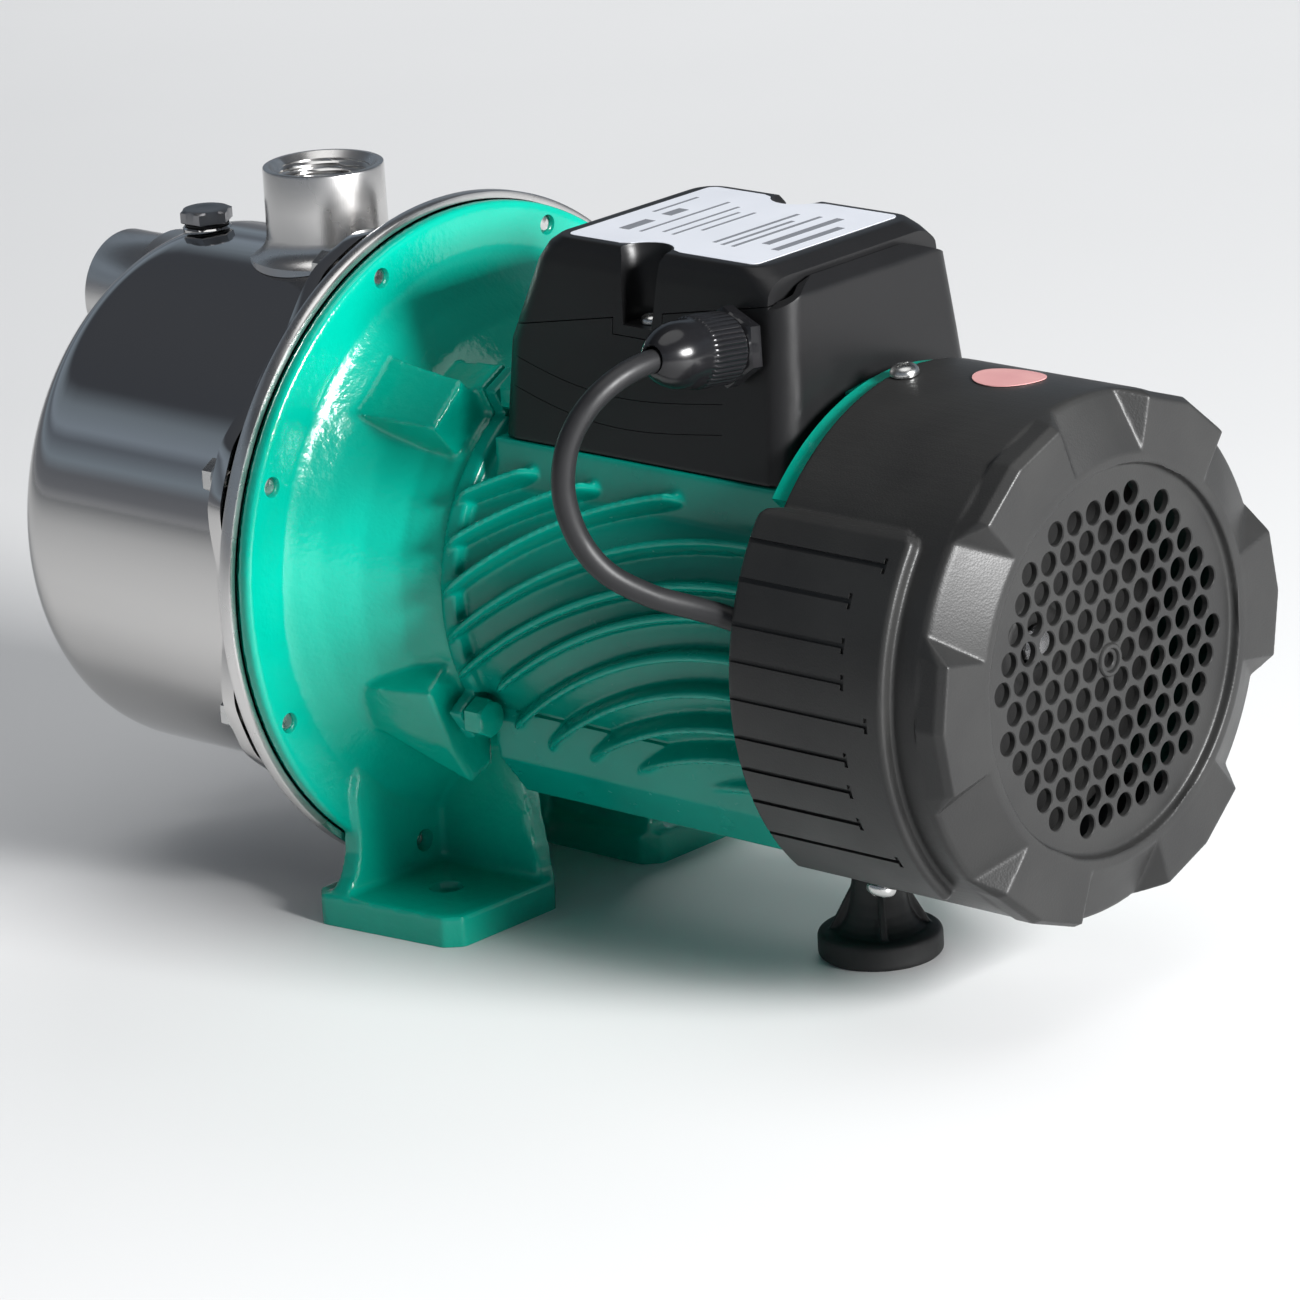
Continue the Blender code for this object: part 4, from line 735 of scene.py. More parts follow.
def make_bracket():
    profile = [(0.3, 60), (0.3, 80), (0.3, DISC_R - 0.8), (1, DISC_R), (4.6, DISC_R), (5.5, DISC_R - 1)]
    profile += [(5.5, 89.5), (7, 86.5), (12.5, 79), (21, 70.5), (31, 64), (38, 61.8)]
    profile += [(45, 61), (45, 56), (41, 56), (41, 17.8), (27.7, 17.8), (27.7, 13)]
    profile += [(24, 13), (24, 21), (35.5, 23), (35.5, 51), (20, 62), (7, 72), (6, 60)]
    cast = turned(profile, 160)
    for angle in (130, mirrored(130)):
        radial_block(angle, (5, 60, 80, 11.5), (41.5, 56, 76, 9), cast)
    for angle in (117, mirrored(117)):
        radial_block(angle, (22, 57, 68.5, 6), (NECK_END, 57, 71.5, 6), cast)
    for side in (-1, 1):
        hull([Vector((x, side * y, z)) for x, y, z in GUSSET], cast)
    bracket_feet(cast)
    bracket = soften(solid("motor_bracket_detail", cast), 0.95, 5)
    lip = turned([(-6, 11.2), (-6, 81.3), (2.5, 81.3), (2.5, 11.2)], 96)
    boolean(bracket, lip, "UNION", "EXACT")
    holes = turned(rod(-20, 10, 8.4), 48)
    turned([(-20, 81.8), (-20, 107.4), (0.2, 107.4), (0.2, 81.8)], 160, bm=holes)
    for index in range(SCREW_COUNT):
        hole = [(-1, 0), (-1, 2.95), (5, 2.95), (6.2, 3.6), (9, 3.6), (9, 0)]
        turned(hole, 32, screw_place(index), holes)
    for angle in HOUSING_BOLTS:
        turned(rod(30, 60, 3), 32, beside(HOUSING_BOLT_CIRCLE, angle), holes)
    for side in (-1, 1):
        hole = [(-3, 0), (-3, 5.4), (0.3, 5), (9.2, 5), (10.4, 5.8), (14, 5.8), (14, 0)]
        turned(hole, 48, upright(FOOT_HOLE[0], side * FOOT_HOLE[1]), holes)
    boolean(bracket, holes)
    boolean(bracket, block((-30, 80), (-100, 100), (-5, 0.05)))
    show(bracket, "motor_bracket", "green_paint")


def bracket_feet(bm):
    """Foot plates, the webs under the disc and the upright inner walls."""
    for side in (-1, 1):
        y = [side * FOOT_Y[0], side * FOOT_Y[1]]
        cut = 5
        outline = [(FOOT_X[0], y[0]), (FOOT_X[1] - cut, y[0]), (FOOT_X[1], y[0] + side * cut)]
        outline += [(FOOT_X[1], y[1] - side * 9), (FOOT_X[1] - cut, y[1] - side * 4.5)]
        outline += [(FOOT_X[0] + cut, y[1]), (FOOT_X[0], y[1] - side * cut)]
        prism(outline, -1.6, FOOT_TOP, across_z, bm)
        outline = [(22, 4), (74, 4), (73, 10), (68.5, 15), (66, 22), (65.6, 30)]
        outline += [(66.5, 40), (60, 62), (22, 62)]
        prism([(side * u, v) for u, v in outline], 0.6, 7.4, across_x, bm)
        outline = [(0.9, 4.5), (48.5, 4.5), (46.5, 14), (45.5, 24), (45, 34), (43, 50), (38, 62)]
        outline += [(0.9, 62)]
        points = []
        for x, z in outline:
            for inner in (24, 30.5):
                lean = 4 * max(0, 1 - z / 30)
                points.append(Vector((x, side * (inner - lean * 0.6), z)))
        hull(points, bm)


# ---------------------------------------------------------------- motor housing

def fin_angle(rear, twist, x):
    """A fin's angle at x: the twist is whole near the front and dies out towards the rear."""
    part = (x - 48) / 119
    return rear + twist * max(0, 1 - part) ** 2


def fin(rear, twist, first, last, flip, bm):
    """One curved cooling fin with a rounded crest, running out to nothing at its ends."""
    stations = 36
    # Up one flank: radius against the crest's (None at the root), half width in thicknesses
    sections = ((None, 0.62), (-3.2, 0.56), (-1, 0.46), (-0.3, 0.3), (0, 0.1))
    rings = []
    for index in range(stations + 1):
        part = index / stations
        x = first + (last - first) * part
        angle = fin_angle(rear, twist, x)
        from_front, from_rear = x - first, last - x
        lift = min(1, 0.3 + from_front / 11)
        if last < FIN_OPEN_END:
            lift = min(lift, 0.05 + from_rear / 9)
        lift = math.sin(0.5 * math.pi * min(1, lift))
        top = BARREL_R + (FIN_R - BARREL_R) * lift
        ring = []
        for sign in (-1, 1):
            order = sections if sign < 0 else reversed(sections)
            for offset, width in order:
                r = FIN_ROOT_R if offset is None else max(FIN_ROOT_R, top + offset)
                here = angle + sign * math.degrees(width * FIN_THICK / r)
                ring.append(bm.verts.new(polar(r, mirrored(here) if flip else here, x)))
        rings.append(ring)
    loft(rings, bm)


def make_housing():
    profile = [(45.3, 47), (45.3, 61.6), (45.8, 62.1), (50.6, 62.1), (51.4, 61.4), (52, BARREL_R)]
    profile += [(166, BARREL_R), (166.8, 61.6), (167.4, 62.5), (171.4, 62.5), (172, 61.9), (172, 50)]
    profile += [(50, 50), (50, 47)]
    cast = turned(profile, 144)
    half, low = BASE_HALF, BASE_Z
    outline = [(-half, low), (half, low), (half + 11, low + 14), (half + 13, 72)]
    outline += [(-half - 13, 72), (-half - 11, low + 14)]
    prism(outline, 50.3, 171.7, across_x, cast)
    half, high = SADDLE_HALF, SADDLE_Z
    outline = [(-half - 1, 138), (half + 1, 138), (half, high), (-half, high)]
    prism(outline, SADDLE_X[0], SADDLE_X[1], across_x, cast)
    for angle in HOUSING_BOLTS:
        radial_block(angle, (45.3, 57, 71, 6), (49.8, 57, 70.5, 5.6), cast)
    for rear, twist, first, last in FINS:
        for flip in (False, True):
            fin(rear, twist, FIN_SEAM if first < 53 else first + 1, last, flip, cast)
    housing = soften(solid("motor_housing_detail", cast), 0.75, 2)
    hollow = [(40, 0), (40, 47), (50.6, 47), (50.6, BARREL_BORE), (180, BARREL_BORE)]
    holes = turned(hollow + [(180, 0)], 96)
    for angle in HOUSING_BOLTS:
        bore = [(40, 0), (40, 3), (49.9, 3), (49.9, 7.6), (60, 7.6), (60, 0)]
        turned(bore, 32, beside(HOUSING_BOLT_CIRCLE, angle), holes)
    turned(rod(36, 50, 3), 32, upright(REAR_FOOT_X), holes)
    front = turned(rod(30, 45.3, 90), 96)
    boolean(housing, front)
    boolean(housing, holes)
    show(housing, "motor_housing", "green_enamel")
    profile = [(33, 0), (33, 2.5), (50.1, 2.5), (50.1, 5.2, 6), (50.4, 5.4, 6), (55.8, 5.4, 6)]
    profile += [(56.6, 5.3), (56.9, 4.6), (56.8, 0)]
    for index, angle in enumerate(HOUSING_BOLTS):
        bolt = turned(profile, 48, beside(HOUSING_BOLT_CIRCLE, angle))
        detail("housing_bolt_%d" % (index + 1), bolt, "green_paint", smooth_angle=CRISP)


def make_rear_shield():
    profile = [(161, 17.8), (161, 23), (172.3, 25), (172.3, 62.5), (172.9, 63.6), (176, 66)]
    profile += [(176, 76.5), (176.5, 77), (182.2, 77), (182.6, 76.6), (182.6, 75.8), (190, 75.8)]
    profile += [(190, 73), (180, 73), (180, 66), (178, 60), (178, 9), (174.3, 9)]
    profile += [(174.3, 17.8)]
    shield = solid("rear_end_shield_detail", turned(profile, 144))
    openings = sector(67.5, 84, (170, 195), (138, 231), 36)
    sector(67.5, 84, (170, 195), (mirrored(138), -93.5), 48, openings)
    boolean(shield, openings)
    for angle in COVER_SCREWS:
        tab = radial_block(angle + 2, (169.5, 66, 73.5, 5.5), (182.4, 66, 77.1, 6.5))
        boolean(shield, tab, "UNION")
    holes = bmesh.new()
    for angle in COVER_SCREWS:
        turned(rod(68, 82, 1.9), 24, radial_frame(COVER_SCREW_X, angle), holes)
    boolean(shield, holes)
    show(shield, "rear_end_shield", "green_paint")


# ---------------------------------------------------------------- fan cover

def grille_holes():
    turn = math.radians(GRILLE_TURN)
    holes = bmesh.new()
    face = COVER_X[1] - 3
    for i in range(-6, 7):
        for j in range(-6, 7):
            ring = i * i + j * j - i * j
            if ring == 0 or ring > 31:
                continue
            along = GRILLE_PITCH * (i - 0.5 * j)
            up = GRILLE_PITCH * j * math.sqrt(3) / 2
            y = along * math.cos(turn) - up * math.sin(turn)
            z = along * math.sin(turn) + up * math.cos(turn)
            hole = [(246, 0), (246, GRILLE_HOLE_R), (face - 0.35, GRILLE_HOLE_R)]
            hole += [(face, GRILLE_HOLE_R + 0.3), (face + 3, GRILLE_HOLE_R + 0.3), (face + 3, 0)]
            turned(hole, 28, axis_frame((0, y, AXIS_Z + z), (1, 0, 0)), holes)
    return holes


def scoop(angles, bm, r_low, r_high, x, corner, slope):
    """A raised plate round the cover, with rounded corners and ends that slope down."""
    first, last = angles
    steps = 60
    rings = []
    for index in range(steps + 1):
        angle = first + (last - first) * index / steps
        away = math.radians(min(index, steps - index) * abs(last - first) / steps) * r_high
        inset = 0
        if away < corner:
            inset = corner - math.sqrt(max(0, corner ** 2 - (corner - away) ** 2))
        top = r_high - slope * max(0, 1 - away / 3)
        ends = ((r_low, x[0] + inset), (r_low, x[1] - inset), (top - 1.4, x[1] - inset))
        ends += ((top - 0.5, x[1] - inset - 0.4), (top, x[1] - inset - 1.4), (top, x[0] + inset + 1.2))
        ends += ((top - 1.2, x[0] + inset),)
        rings.append([bm.verts.new(polar(r, angle, at)) for r, at in ends])
    loft(rings, bm)


def cover_lug(index, bm):
    """A pad standing on the cover's rear edge, with ramps that widen towards the outside."""
    centre = 60 * index + 0.5
    half = LUG_HALF_ANGLE
    corners = [(59.6, half + 0.4, 255.3), (77, half - 0.6, 254.7), (78.5, half - 0.6, 251.8)]
    corners += [(78.6, half + 1, 245), (60.6, half + 1.2, 248), (78.5, half + 5.4, 245.6)]
    points = []
    for r, spread, x in corners:
        for sign in (-1, 1):
            points.append(polar(r, centre + sign * spread, x))
    for r, x in ((59.4, 255.3), (77.8, 254.7), (79.3, 251.8), (79.3, 245)):
        points.append(polar(r + 0.1, centre, x))
    hull(points, bm)


def scoop_cuts(span, depth, half):
    """Cuts along the scoop's grooves; span gives the first and last x from where a groove ends."""
    cuts = bmesh.new()
    for angle, end in GROOVES:
        for here in (angle, mirrored(angle)):
            first, last = ((x, SCOOP_R - depth, SCOOP_R + 2, half) for x in span(end))
            radial_block(here, first, last, cuts)
    return cuts


def make_fan_cover():
    rear = COVER_X[1]
    floor = rear - 3
    inner = COVER_R - COVER_WALL
    profile = [(COVER_X[0], inner), (COVER_X[0], COVER_R), (244.6, COVER_R), (246.2, 78.2), (247.2, 77)]
    profile += [(rear, RECESS_R + 2.8), (rear, RECESS_R), (floor, RECESS_R - 0.7), (floor, 0)]
    profile += [(floor - 2.2, 0), (floor - 2.2, RECESS_R - 2), (243.6, COVER_R - 5), (240.8, inner)]
    body = turned(profile, 160)
    for index in range(LUG_COUNT):
        cover_lug(index, body)
    far = tuple(mirrored(angle) for angle in SCOOP_ANGLES)
    for angles in (SCOOP_ANGLES, far):
        scoop(angles, body, 76.6, SCOOP_R, SCOOP_X, 6, 3)
    cover = soften(solid("fan_cover_detail", body), 0.55, 2)
    hollows = bmesh.new()
    for angles in (SCOOP_ANGLES, far):
        sign = 1 if angles[1] > angles[0] else -1
        near = (angles[0] + 2 * sign, angles[1] - 2 * sign)
        scoop(near, hollows, 74, SCOOP_R - 2.6, (SCOOP_X[0] - 2, SCOOP_X[1] - 3), 4, 2)
    boolean(cover, hollows)
    boolean(cover, scoop_cuts(lambda end: (SCOOP_X[0] - 1, end), 0.9, 0.75))
    boolean(cover, scoop_cuts(lambda end: (end - 0.8, end + 0.5), 0.8, 2.3))
    boolean(cover, grille_holes())
    ring = [(floor - 0.6, 3.3), (floor + 0.5, 3.4), (floor + 0.9, 3.7), (floor + 0.9, 4.6)]
    ring += [(floor + 0.5, 5), (floor - 0.6, 5.2)]
    boolean(cover, turned(ring, 64), "UNION")
    holes = bmesh.new()
    hole = [(240, 0), (240, 2.2), (floor - 0.3, 2.2), (floor + 0.1, 2.6), (260, 2.6)]
    turned(hole + [(260, 0)], 32, bm=holes)
    for angle in COVER_SCREWS:
        turned(rod(72, 84, 2.2), 24, radial_frame(COVER_SCREW_X, angle), holes)
    boolean(cover, holes)
    show(cover, "fan_cover", "black_plastic")
    for index, angle in enumerate(COVER_SCREWS):
        place = radial_frame(COVER_SCREW_X, angle)
        machine_screw("fan_cover_screw_%d" % (index + 1), place, 78.9, 4.4, 3, 1.6, 70)
    make_sticker()


def make_sticker():
    """A thin disc, wrapped round the cover."""
    angle, x = STICKER_AT
    low, high = COVER_R + 0.15, COVER_R + 0.4
    sizes = [STICKER_R * row / 6 for row in range(7)]
    profile = [(low, size) for size in sizes] + [(high, size) for size in reversed(sizes)]
    disc = turned(profile, 64, Matrix())
    for vert in disc.verts:
        r, along, across = vert.co
        vert.co = polar(r, angle + math.degrees(across / r), x + along)
    detail("round_sticker", disc, "sticker_pink")


def make_fan():
    hub = [(208, 6.3), (208, 14.4), (208.6, 15), (219, 15.8), (220, 17), (222, 59.4)]
    hub += [(222.6, 60), (223.6, 60), (224, 59.4), (224.5, 12.6), (225.2, 12), (225.2, 6.3)]
    wheel = turned(hub, 96)
    for index in range(7):
        angle = 360 * index / 7
        for part in range(4):
            low, high = 13.5 + 11 * part, 25.5 + 11 * part
            lean = angle + 3 * part
            radial_block(lean, (209, low, high, 1), (222.8, low, high, 1.2), wheel)
    fan = soften(solid("fan_detail", wheel), 0.8, 2)
    boolean(fan, turned(rod(190, 230, 6.3), 48))
    show(fan, "fan", "black_plastic", "rotor")


# ---------------------------------------------------------------- terminal box

def box_outline(x_low, x_high, half, corner, steps=10):
    outline = []
    corners = ((x_high, half, 0), (x_low, half, 90), (x_low, -half, 180), (x_high, -half, 270))
    for x, y, start in corners:
        centre_x = x - corner if x == x_high else x + corner
        centre_y = y - corner if y > 0 else y + corner
        for step in range(steps + 1):
            turn = math.radians(start + 90 * step / steps)
            outline.append((centre_x + corner * math.cos(turn), centre_y + corner * math.sin(turn)))
    return outline


def box_shell(inset, low=None, high=None, rear=BOX_LEVELS[0][2]):
    """The terminal box's outside, or a smaller copy of it, ending at rear, for its hollow."""
    levels = [list(level) for level in BOX_LEVELS]
    if inset:
        levels[0][0] = low
        levels[-1][0] = high
        levels[-2][0] = min(levels[-2][0], high - 1.5)
    bm = bmesh.new()
    rings = []
    for z, x_low, x_high, half in levels:
        end = min(x_high - inset, rear)
        outline = box_outline(x_low + inset, end, half - inset, BOX_CORNER - inset / 2)
        rings.append([bm.verts.new(Vector((x, y, z))) for x, y in outline])
    return loft(rings, bm)


def parting(x):
    (x0, z0), (x1, z1) = PART_FRONT, PART_REAR
    return z0 + (x - x0) * (z1 - z0) / (x1 - x0)


def gland_frame():
    return axis_frame(GLAND, (0, -math.cos(GLAND_TILT), math.sin(GLAND_TILT)))


def lid_screw_place(side):
    return upright(LID_SCREW[0], side * LID_SCREW[1])


def box_side_grooves():
    """Fine curved lines on the box's long faces."""
    tool = bmesh.new()
    for side in (-1, 1):
        for drop in (0, 9):
            rings = []
            for step in range(17):
                part = step / 16
                x = 62 + 84 * part
                z = 183.5 - drop - 6.5 * math.sin(math.pi * part) * (1 - 0.3 * part) - 4 * part
                half = 45 - (z - 157.8) * 3.6 / 29.2
                corners = ((half - 0.45, z), (half + 1.5, z - 0.5), (half + 1.5, z + 0.5))
                rings.append([tool.verts.new(Vector((x, side * y, at))) for y, at in corners])
            loft(rings, tool)
    return tool


def make_box():
    low_x = 40
    outside = soften(solid("box_outside", box_shell(0)), 0.7, 4)
    base = put("terminal_box_base_detail", outside.data.copy())
    boolean(base, box_shell(BOX_WALL, 140, 240))
    bosses = bmesh.new()
    for side in (-1, 1):
        y = sorted((side * 26, side * 38.5))
        block((104, 120), y, (162, 200), bosses)
    boolean(base, bosses, "UNION")
    above = [(low_x, parting(low_x)), (162.5, parting(162.5)), (164.5, 219.5), (185, 219.5)]
    above += [(185, 250), (low_x, 250)]
    boolean(base, prism(above, -60, 60, across_y))
    for side in (-1, 1):
        boolean(base, block((102.2, 121.8), sorted((side * 24.2, side * 60)), (TONGUE_Z - 0.3, 230)))
    arch = []
    for step in range(49):
        angle = math.radians(54 + 1.5 * step)
        arch.append((ARCH_R * math.cos(angle), ARCH_TOP - ARCH_R + ARCH_R * math.sin(angle)))
    arch += [(-60, 200), (-60, 240), (60, 240), (60, 200)]
    boolean(base, prism(arch, 162, 190, across_x))
    seat = [(50, 0), (50, 59), (165.6, 59), (165.6, 63), (176, 63), (176, 0)]
    boolean(base, turned(seat, 144))
    boolean(base, block((50, 176), (-60, 60), (140, 157.8)))
    holes = turned(rod(-9, 6, 8.2), 48, gland_frame())
    for side in (-1, 1):
        turned(rod(182, 210, 2.2), 24, lid_screw_place(side), holes)
    boolean(base, holes)
    boolean(base, box_side_grooves())
    show(base, "terminal_box_base", "box_plastic")
    make_lid(outside)
    bpy.data.objects.remove(outside, do_unlink=True)
    make_gland()


def make_lid(outside):
    lid = put("terminal_box_lid_detail", outside.data.copy())
    below = [(40, parting(40) + 0.35), (161.9, parting(161.9) + 0.35), (161.9, 240)]
    below += [(190, 240), (190, 140), (40, 140)]
    boolean(lid, prism(below, -60, 60, across_y))
    boolean(lid, box_shell(BOX_WALL, 150, 217.4, 159.4))
    for side in (-1, 1):
        tongue = put("tongue", outside.data.copy())
        reach = sorted((side * 24.6, side * 60))
        boolean(tongue, block((102.5, 121.5), reach, (TONGUE_Z, 219)), "INTERSECT")
        boolean(lid, tongue, "UNION")
        well = [(WELL_FLOOR, 0), (WELL_FLOOR, 7), (217.5, 7.5), (219.6, 8.6), (230, 12), (230, 0)]
        boolean(lid, turned(well, 64, upright(LID_SCREW[0], side * 35.8)))
        boolean(lid, turned(rod(190, 206, 2.2), 24, lid_screw_place(side)))
    show(lid, "terminal_box_lid", "box_plastic")
    for index, side in enumerate((-1, 1)):
        place = lid_screw_place(side)
        machine_screw("lid_screw_%d" % (index + 1), place, WELL_FLOOR + 0.2, 3.6, 2.4, 1.8, 184)
    make_label()


def make_label():
    half, corner = LABEL_HALF, 3
    low, high = LABEL_X[0] + corner, LABEL_X[1] - corner
    plate = []
    for side, corners in ((-1, ((low, 180), (high, 270))), (1, ((high, 0), (low, 90)))):
        edge = []
        for x, start in corners:
            edge += arc(x, side * (half - corner), corner, start, start + 90, 6)
        notch = [(LID_SCREW[0] - 12, side * half)]
        for step in range(13):
            turn = math.radians(180 - 15 * step)
            y = 36.3 - 9.6 * math.sin(turn)
            if y < half - 0.4:
                notch.append((LID_SCREW[0] + 9.8 * math.cos(turn), side * y))
        notch.append((LID_SCREW[0] + 12, side * half))
        if side > 0:
            notch.reverse()
        plate += edge[:7] + notch + edge[7:]
    label = solid("rating_label_detail", prism(plate, LABEL_Z, LABEL_Z + 0.3, across_z), 20)
    show(label, "rating_label", "label_white")
    ink = bmesh.new()
    for x0, x1, y, tall in LABEL_BARS:
        block((x0, x1), (y - tall / 2, y + tall / 2), (LABEL_Z + 0.25, LABEL_Z + 0.36), ink)
    detail("rating_label", ink, "ink").name = "label_bars_detail"


def make_gland():
    place = gland_frame()
    body = [(-10, 4.2), (-10, 7.6), (-9, 7.9), (0.8, 7.9), (0.8, 9.9, 6), (1.2, 10.3, 6)]
    body += [(5.4, 10.3, 6), (6.1, 10), (6.3, 9.2), (6.3, 7.9), (17, 7.9), (18, 7.2), (18, 4.2)]
    detail("gland_body", turned(body, 72, place), "gland_plastic", smooth_angle=CRISP)

    def ribs(x, r, turn):
        if r < 9.5 or not 8 < x < 20.6:
            return 0
        return 0.42 * abs(math.sin(20 * turn)) ** 0.6 - 0.35

    nut = [(7, 8.2), (7, 10), (7.5, 10.7), (8.2, 10.9), (8.6, 10.9), (12, 10.9), (16, 10.9)]
    nut += [(20, 10.8), (20.5, 10.6), (21.2, 10.3), (22.4, 10.2), (25, 10.1), (28, 9.8), (30.5, 9.1)]
    nut += [(32.8, 8), (34.6, 6.8), (36, 5.6), (36.9, 4.7), (37.2, 4.2), (37, 3.8), (36, 3.7)]
    nut += [(20, 4), (18.4, 8.2)]
    detail("gland_nut", turned(nut, 240, place, ripple=ribs), "gland_plastic", smooth_angle=40)


# ---------------------------------------------------------------- foot, cord and plug

def make_rear_foot():
    up = upright(REAR_FOOT_X)
    r = REAR_FOOT_R
    profile = [(0, 0), (0, r - 1.6), (0.4, r - 0.8), (1.2, r - 0.1), (1.8, r), (6.6, r), (7.6, r - 0.4)]
    profile += [(8.3, r - 1.3), (8.6, r - 2.6), (8.8, 14), (9.8, 12.2), (11.5, 10.8), (14, 9.6)]
    profile += [(18, 8.6), (26, 7.6), (33, 7.3), (40.8, 7.2), (41.2, 6.8), (41.2, 2.6), (22, 2.6)]
    profile += [(22, 0)]
    foot = turned(profile, 96, up)
    for index in range(4):
        turn = math.radians(45 + 90 * index)
        points = []
        for reach, z in ((6, 7), (15.2, 7), (15.2, 9), (7, 24), (6, 24)):
            for half in (-0.9, 0.9):
                x = REAR_FOOT_X + reach * math.cos(turn) - half * math.sin(turn)
                points.append(Vector((x, reach * math.sin(turn) + half * math.cos(turn), z)))
        hull(points, foot)
    foot = soften(solid("rear_foot_detail", foot), 0.4, 2)
    boolean(foot, block((120, 200), (-40, 40), (-5, 0)))
    boolean(foot, turned(rod(22, 60, 2.6), 32, up))
    show(foot, "rear_foot", "rubber")


def smooth_path(points, per_gap):
    """Catmull-Rom points through all the given ones."""
    points = [Vector(point) for point in points]
    ends = [2 * points[0] - points[1]] + points + [2 * points[-1] - points[-2]]
    path = []
    for a, b, c, d in zip(ends, ends[1:], ends[2:], ends[3:]):
        for step in range(per_gap):
            t = step / per_gap
            path.append(0.5 * (2 * b + (c - a) * t + (2 * a - 5 * b + 4 * c - d) * t ** 2
                               + (3 * b - a - 3 * c + d) * t ** 3))
    path.append(points[-1])
    return path


def ease(part):
    part = min(1, max(0, part))
    return part * part * (3 - 2 * part)


def coil_point(turned_by):
    """The cord's centre in the coil after so many degrees from where the route reaches it."""
    outer, inner = COIL_RADII
    low, high = COIL_HEIGHTS
    last = 360 * COIL_TURNS + 90
    entry = CORD_ROUTE[-1][0] - COIL_CENTRE[0]
    r = entry + (outer - entry) * ease(turned_by / 75)
    r += (inner - outer) * ease((turned_by - 330) / 70)
    r += (outer - inner) * ease((turned_by - 1060) / 70)
    r += (PLUG_Y - COIL_CENTRE[1] - outer) * ease((turned_by - last + 80) / 80)
    z = low + (high - low) * ease((turned_by - 690) / 60)
    z += (PLUG_Z - high) * ease((turned_by - last + 40) / 40)
    away = abs(turned_by % 360 - 180)
    z += 1.3 * ease(1 - away / 55)
    turn = math.radians(turned_by)
    return (COIL_CENTRE[0] + r * math.cos(turn), COIL_CENTRE[1] + r * math.sin(turn), z)


def make_cord():
    points = list(CORD_ROUTE)
    count = round((COIL_TURNS + 0.25) * COIL_STEPS)
    points += [coil_point(360 * step / COIL_STEPS) for step in range(1, count + 1)]
    points.append((RELIEF_END + 1, PLUG_Y, PLUG_Z))
    path = [(Vector((x + START, y, z))) * MM for x, y, z in smooth_path(points, 6)]
    curve = bpy.data.curves.new("cord", "CURVE")
    curve.dimensions = "3D"
    curve.bevel_depth = CORD_R * MM
    curve.bevel_resolution = 6
    curve.use_fill_caps = True
    spline = curve.splines.new("POLY")
    spline.points.add(len(path) - 1)
    for point, at in zip(spline.points, path):
        point.co = (*at, 1)
    spline.use_smooth = True
    cord = put("power_cord_detail", curve)
    show(cord, "power_cord", "cord_black")
    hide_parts("cord_coil")
    ends = [make_plug(), make_tie()]


def make_plug():
    place = axis_frame((PLUG_FRONT, PLUG_Y, PLUG_Z), (-1, 0, 0))

    def grip(x, r, turn):
        if -17 < x < -4 and r > 8:
            return -0.35 * (0.5 + 0.5 * math.cos(12 * turn))
        return 0

    profile = [(-58, 3.3), (-58, 3.9)]
    for index in range(6):
        x = -57 + 5.6 * index
        r = 4.1 + 0.22 * index
        profile += [(x, r), (x + 3.4, r + 0.1), (x + 3.8, r - 0.55), (x + 5.2, r - 0.5)]
    profile += [(-22.6, 5.6), (-21, 7.2), (-19.5, 8.4), (-17.5, 9), (-16, 9.1), (-10, 9.1)]
    profile += [(-5, 9.2), (-3, 9.3), (0, 9.3), (1, 9), (1.5, 8.3), (1.5, 0), (-40, 0)]
    profile += [(-40, 3.3)]
    plug = solid("plug_detail", turned(profile, 96, place, ripple=grip))
    show(plug, "plug", "gland_plastic")
    for side in (-1, 1):
        pin_frame = axis_frame(place @ Vector((0, side * 5, 0)), (-1, 0, 0))
        pin = [(1.4, 0), (1.4, 2), (8, 2), (8, 1.95), (17.6, 1.95), (18.5, 1.6), (19, 0.9)]
        pin = detail("plug", turned(pin + [(19, 0)], 32, pin_frame), "brass")
        pin.name = "plug_pin_detail_%d" % (1 if side < 0 else 2)
    return plug


def make_tie():
    """A flat strap round the coil's bundle, with its square lock on top."""
    x, y = COIL_CENTRE[0] - 0.5 * sum(COIL_RADII), COIL_CENTRE[1]

    def loop(inset):
        points = []
        for step in range(48):
            turn = 2 * math.pi * step / 48
            across, up = math.cos(turn), math.sin(turn)
            u = (TIE_HALVES[0] - inset) * math.copysign(abs(across) ** 0.55, across)
            v = (TIE_HALVES[1] - inset) * math.copysign(abs(up) ** 0.55, up)
            points.append((x + u, TIE_Z + v))
        return points

    band = solid("cord_tie_detail", prism(loop(0), y - 2.4, y + 2.4, across_y))
    boolean(band, prism(loop(TIE_THICK), y - 5, y + 5, across_y))
    lock = block((x - 4, x + 2.6), (y - 3.6, y + 3.6), (15.9, 19.4))
    boolean(band, lock, "UNION")
    tail = block((x - 11, x - 3), (y - 1.9, y + 1.9), (17.6, 18.5))
    boolean(band, tail, "UNION")
    bevel(band, 0.35, 2)
    return show(band, "cord_tie", "black_plastic")


# ---------------------------------------------------------------- camera, floor and light

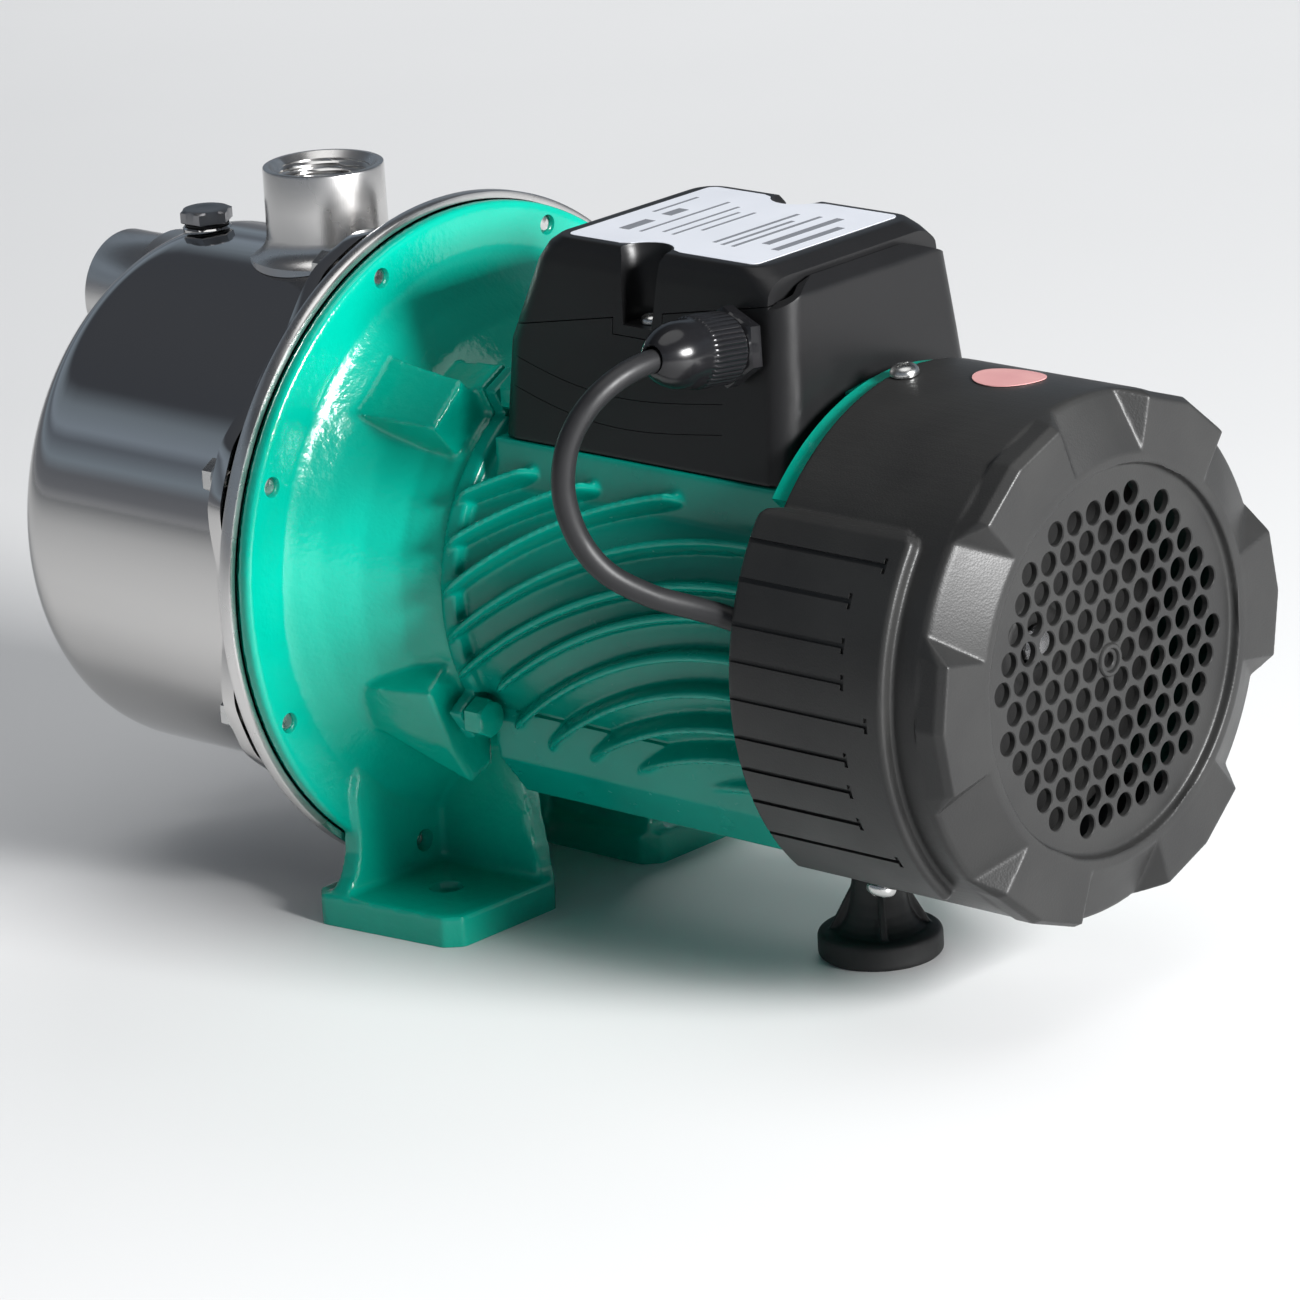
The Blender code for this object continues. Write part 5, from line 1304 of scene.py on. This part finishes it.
def make_camera():
    azimuth, elevation, roll = (math.radians(value) for value in (AZIMUTH, ELEVATION, ROLL))
    back = Vector((math.sin(azimuth) * math.cos(elevation), -math.cos(azimuth) * math.cos(elevation),
                   math.sin(elevation)))
    level = (-back).cross(Vector((0, 0, 1))).normalized()
    above = level.cross(-back)
    right = math.cos(roll) * level + math.sin(roll) * above
    up = -math.sin(roll) * level + math.cos(roll) * above
    data = bpy.data.cameras.new("camera")
    data.sensor_width = SENSOR_MM
    data.lens = FOCAL_PX * SENSOR_MM / FRAME_PX
    data.clip_start, data.clip_end = 0.1, 50
    camera = put("camera", data)
    x, y, z = CAMERA_AT
    matrix = Matrix((right, up, back)).transposed().to_4x4()
    matrix.translation = Vector((x + START, y, z)) * MM
    camera.matrix_world = matrix
    bpy.context.scene.camera = camera


def make_floor():
    bm = bmesh.new()
    half = FLOOR_HALF_MM
    corners = ((-half, -half), (half, -half), (half, half), (-half, half))
    bm.faces.new([bm.verts.new((x, y, 0)) for x, y in corners])
    floor = solid("floor", bm)
    floor.data.materials.append(surface("floor_white", FLOOR_WHITE, 0, 0.6, ("rough", 0.55, 0.65, 4, 2)))


def area_light(name, at, size, power):
    data = bpy.data.lights.new(name, "AREA")
    data.shape = "RECTANGLE"
    data.size, data.size_y = size
    data.energy = power
    lamp = put(name, data)
    lamp.location = at
    lamp.rotation_euler = (Vector(AIM) - Vector(at)).to_track_quat("-Z", "Y").to_euler()
    return lamp


def make_light():
    world = bpy.data.worlds.new("studio")
    bpy.context.scene.world = world
    world.use_nodes = True
    nodes, links = world.node_tree.nodes, world.node_tree.links
    place = nodes.new("ShaderNodeTexCoord")
    parts = nodes.new("ShaderNodeSeparateXYZ")
    links.new(place.outputs["Generated"], parts.inputs["Vector"])
    ramp = nodes.new("ShaderNodeValToRGB")
    elements = ramp.color_ramp.elements
    while len(elements) < len(SKY):
        elements.new(0.5)
    for element, (height, colour) in zip(elements, SKY):
        element.position = height
        element.color = (*colour, 1)
    links.new(parts.outputs["Z"], ramp.inputs["Fac"])
    links.new(ramp.outputs["Color"], nodes["Background"].inputs["Color"])
    nodes["Background"].inputs["Strength"].default_value = 1
    area_light("key", KEY_AT, KEY_SIZE, KEY_POWER)
    area_light("back", BACK_AT, BACK_SIZE, BACK_POWER).visible_glossy = False
    data = bpy.data.lights.new("overhead", "SUN")
    data.energy = OVERHEAD_POWER
    data.angle = OVERHEAD_SPREAD
    put("overhead", data)
    bpy.context.scene.view_settings.view_transform = "Standard"


make_casing()
make_ports()
make_plugs()
make_clamp_ring()
make_bracket()
make_housing()
make_rear_shield()
make_fan_cover()
make_fan()
make_box()
make_rear_foot()
make_cord()
make_camera()
make_floor()
make_light()
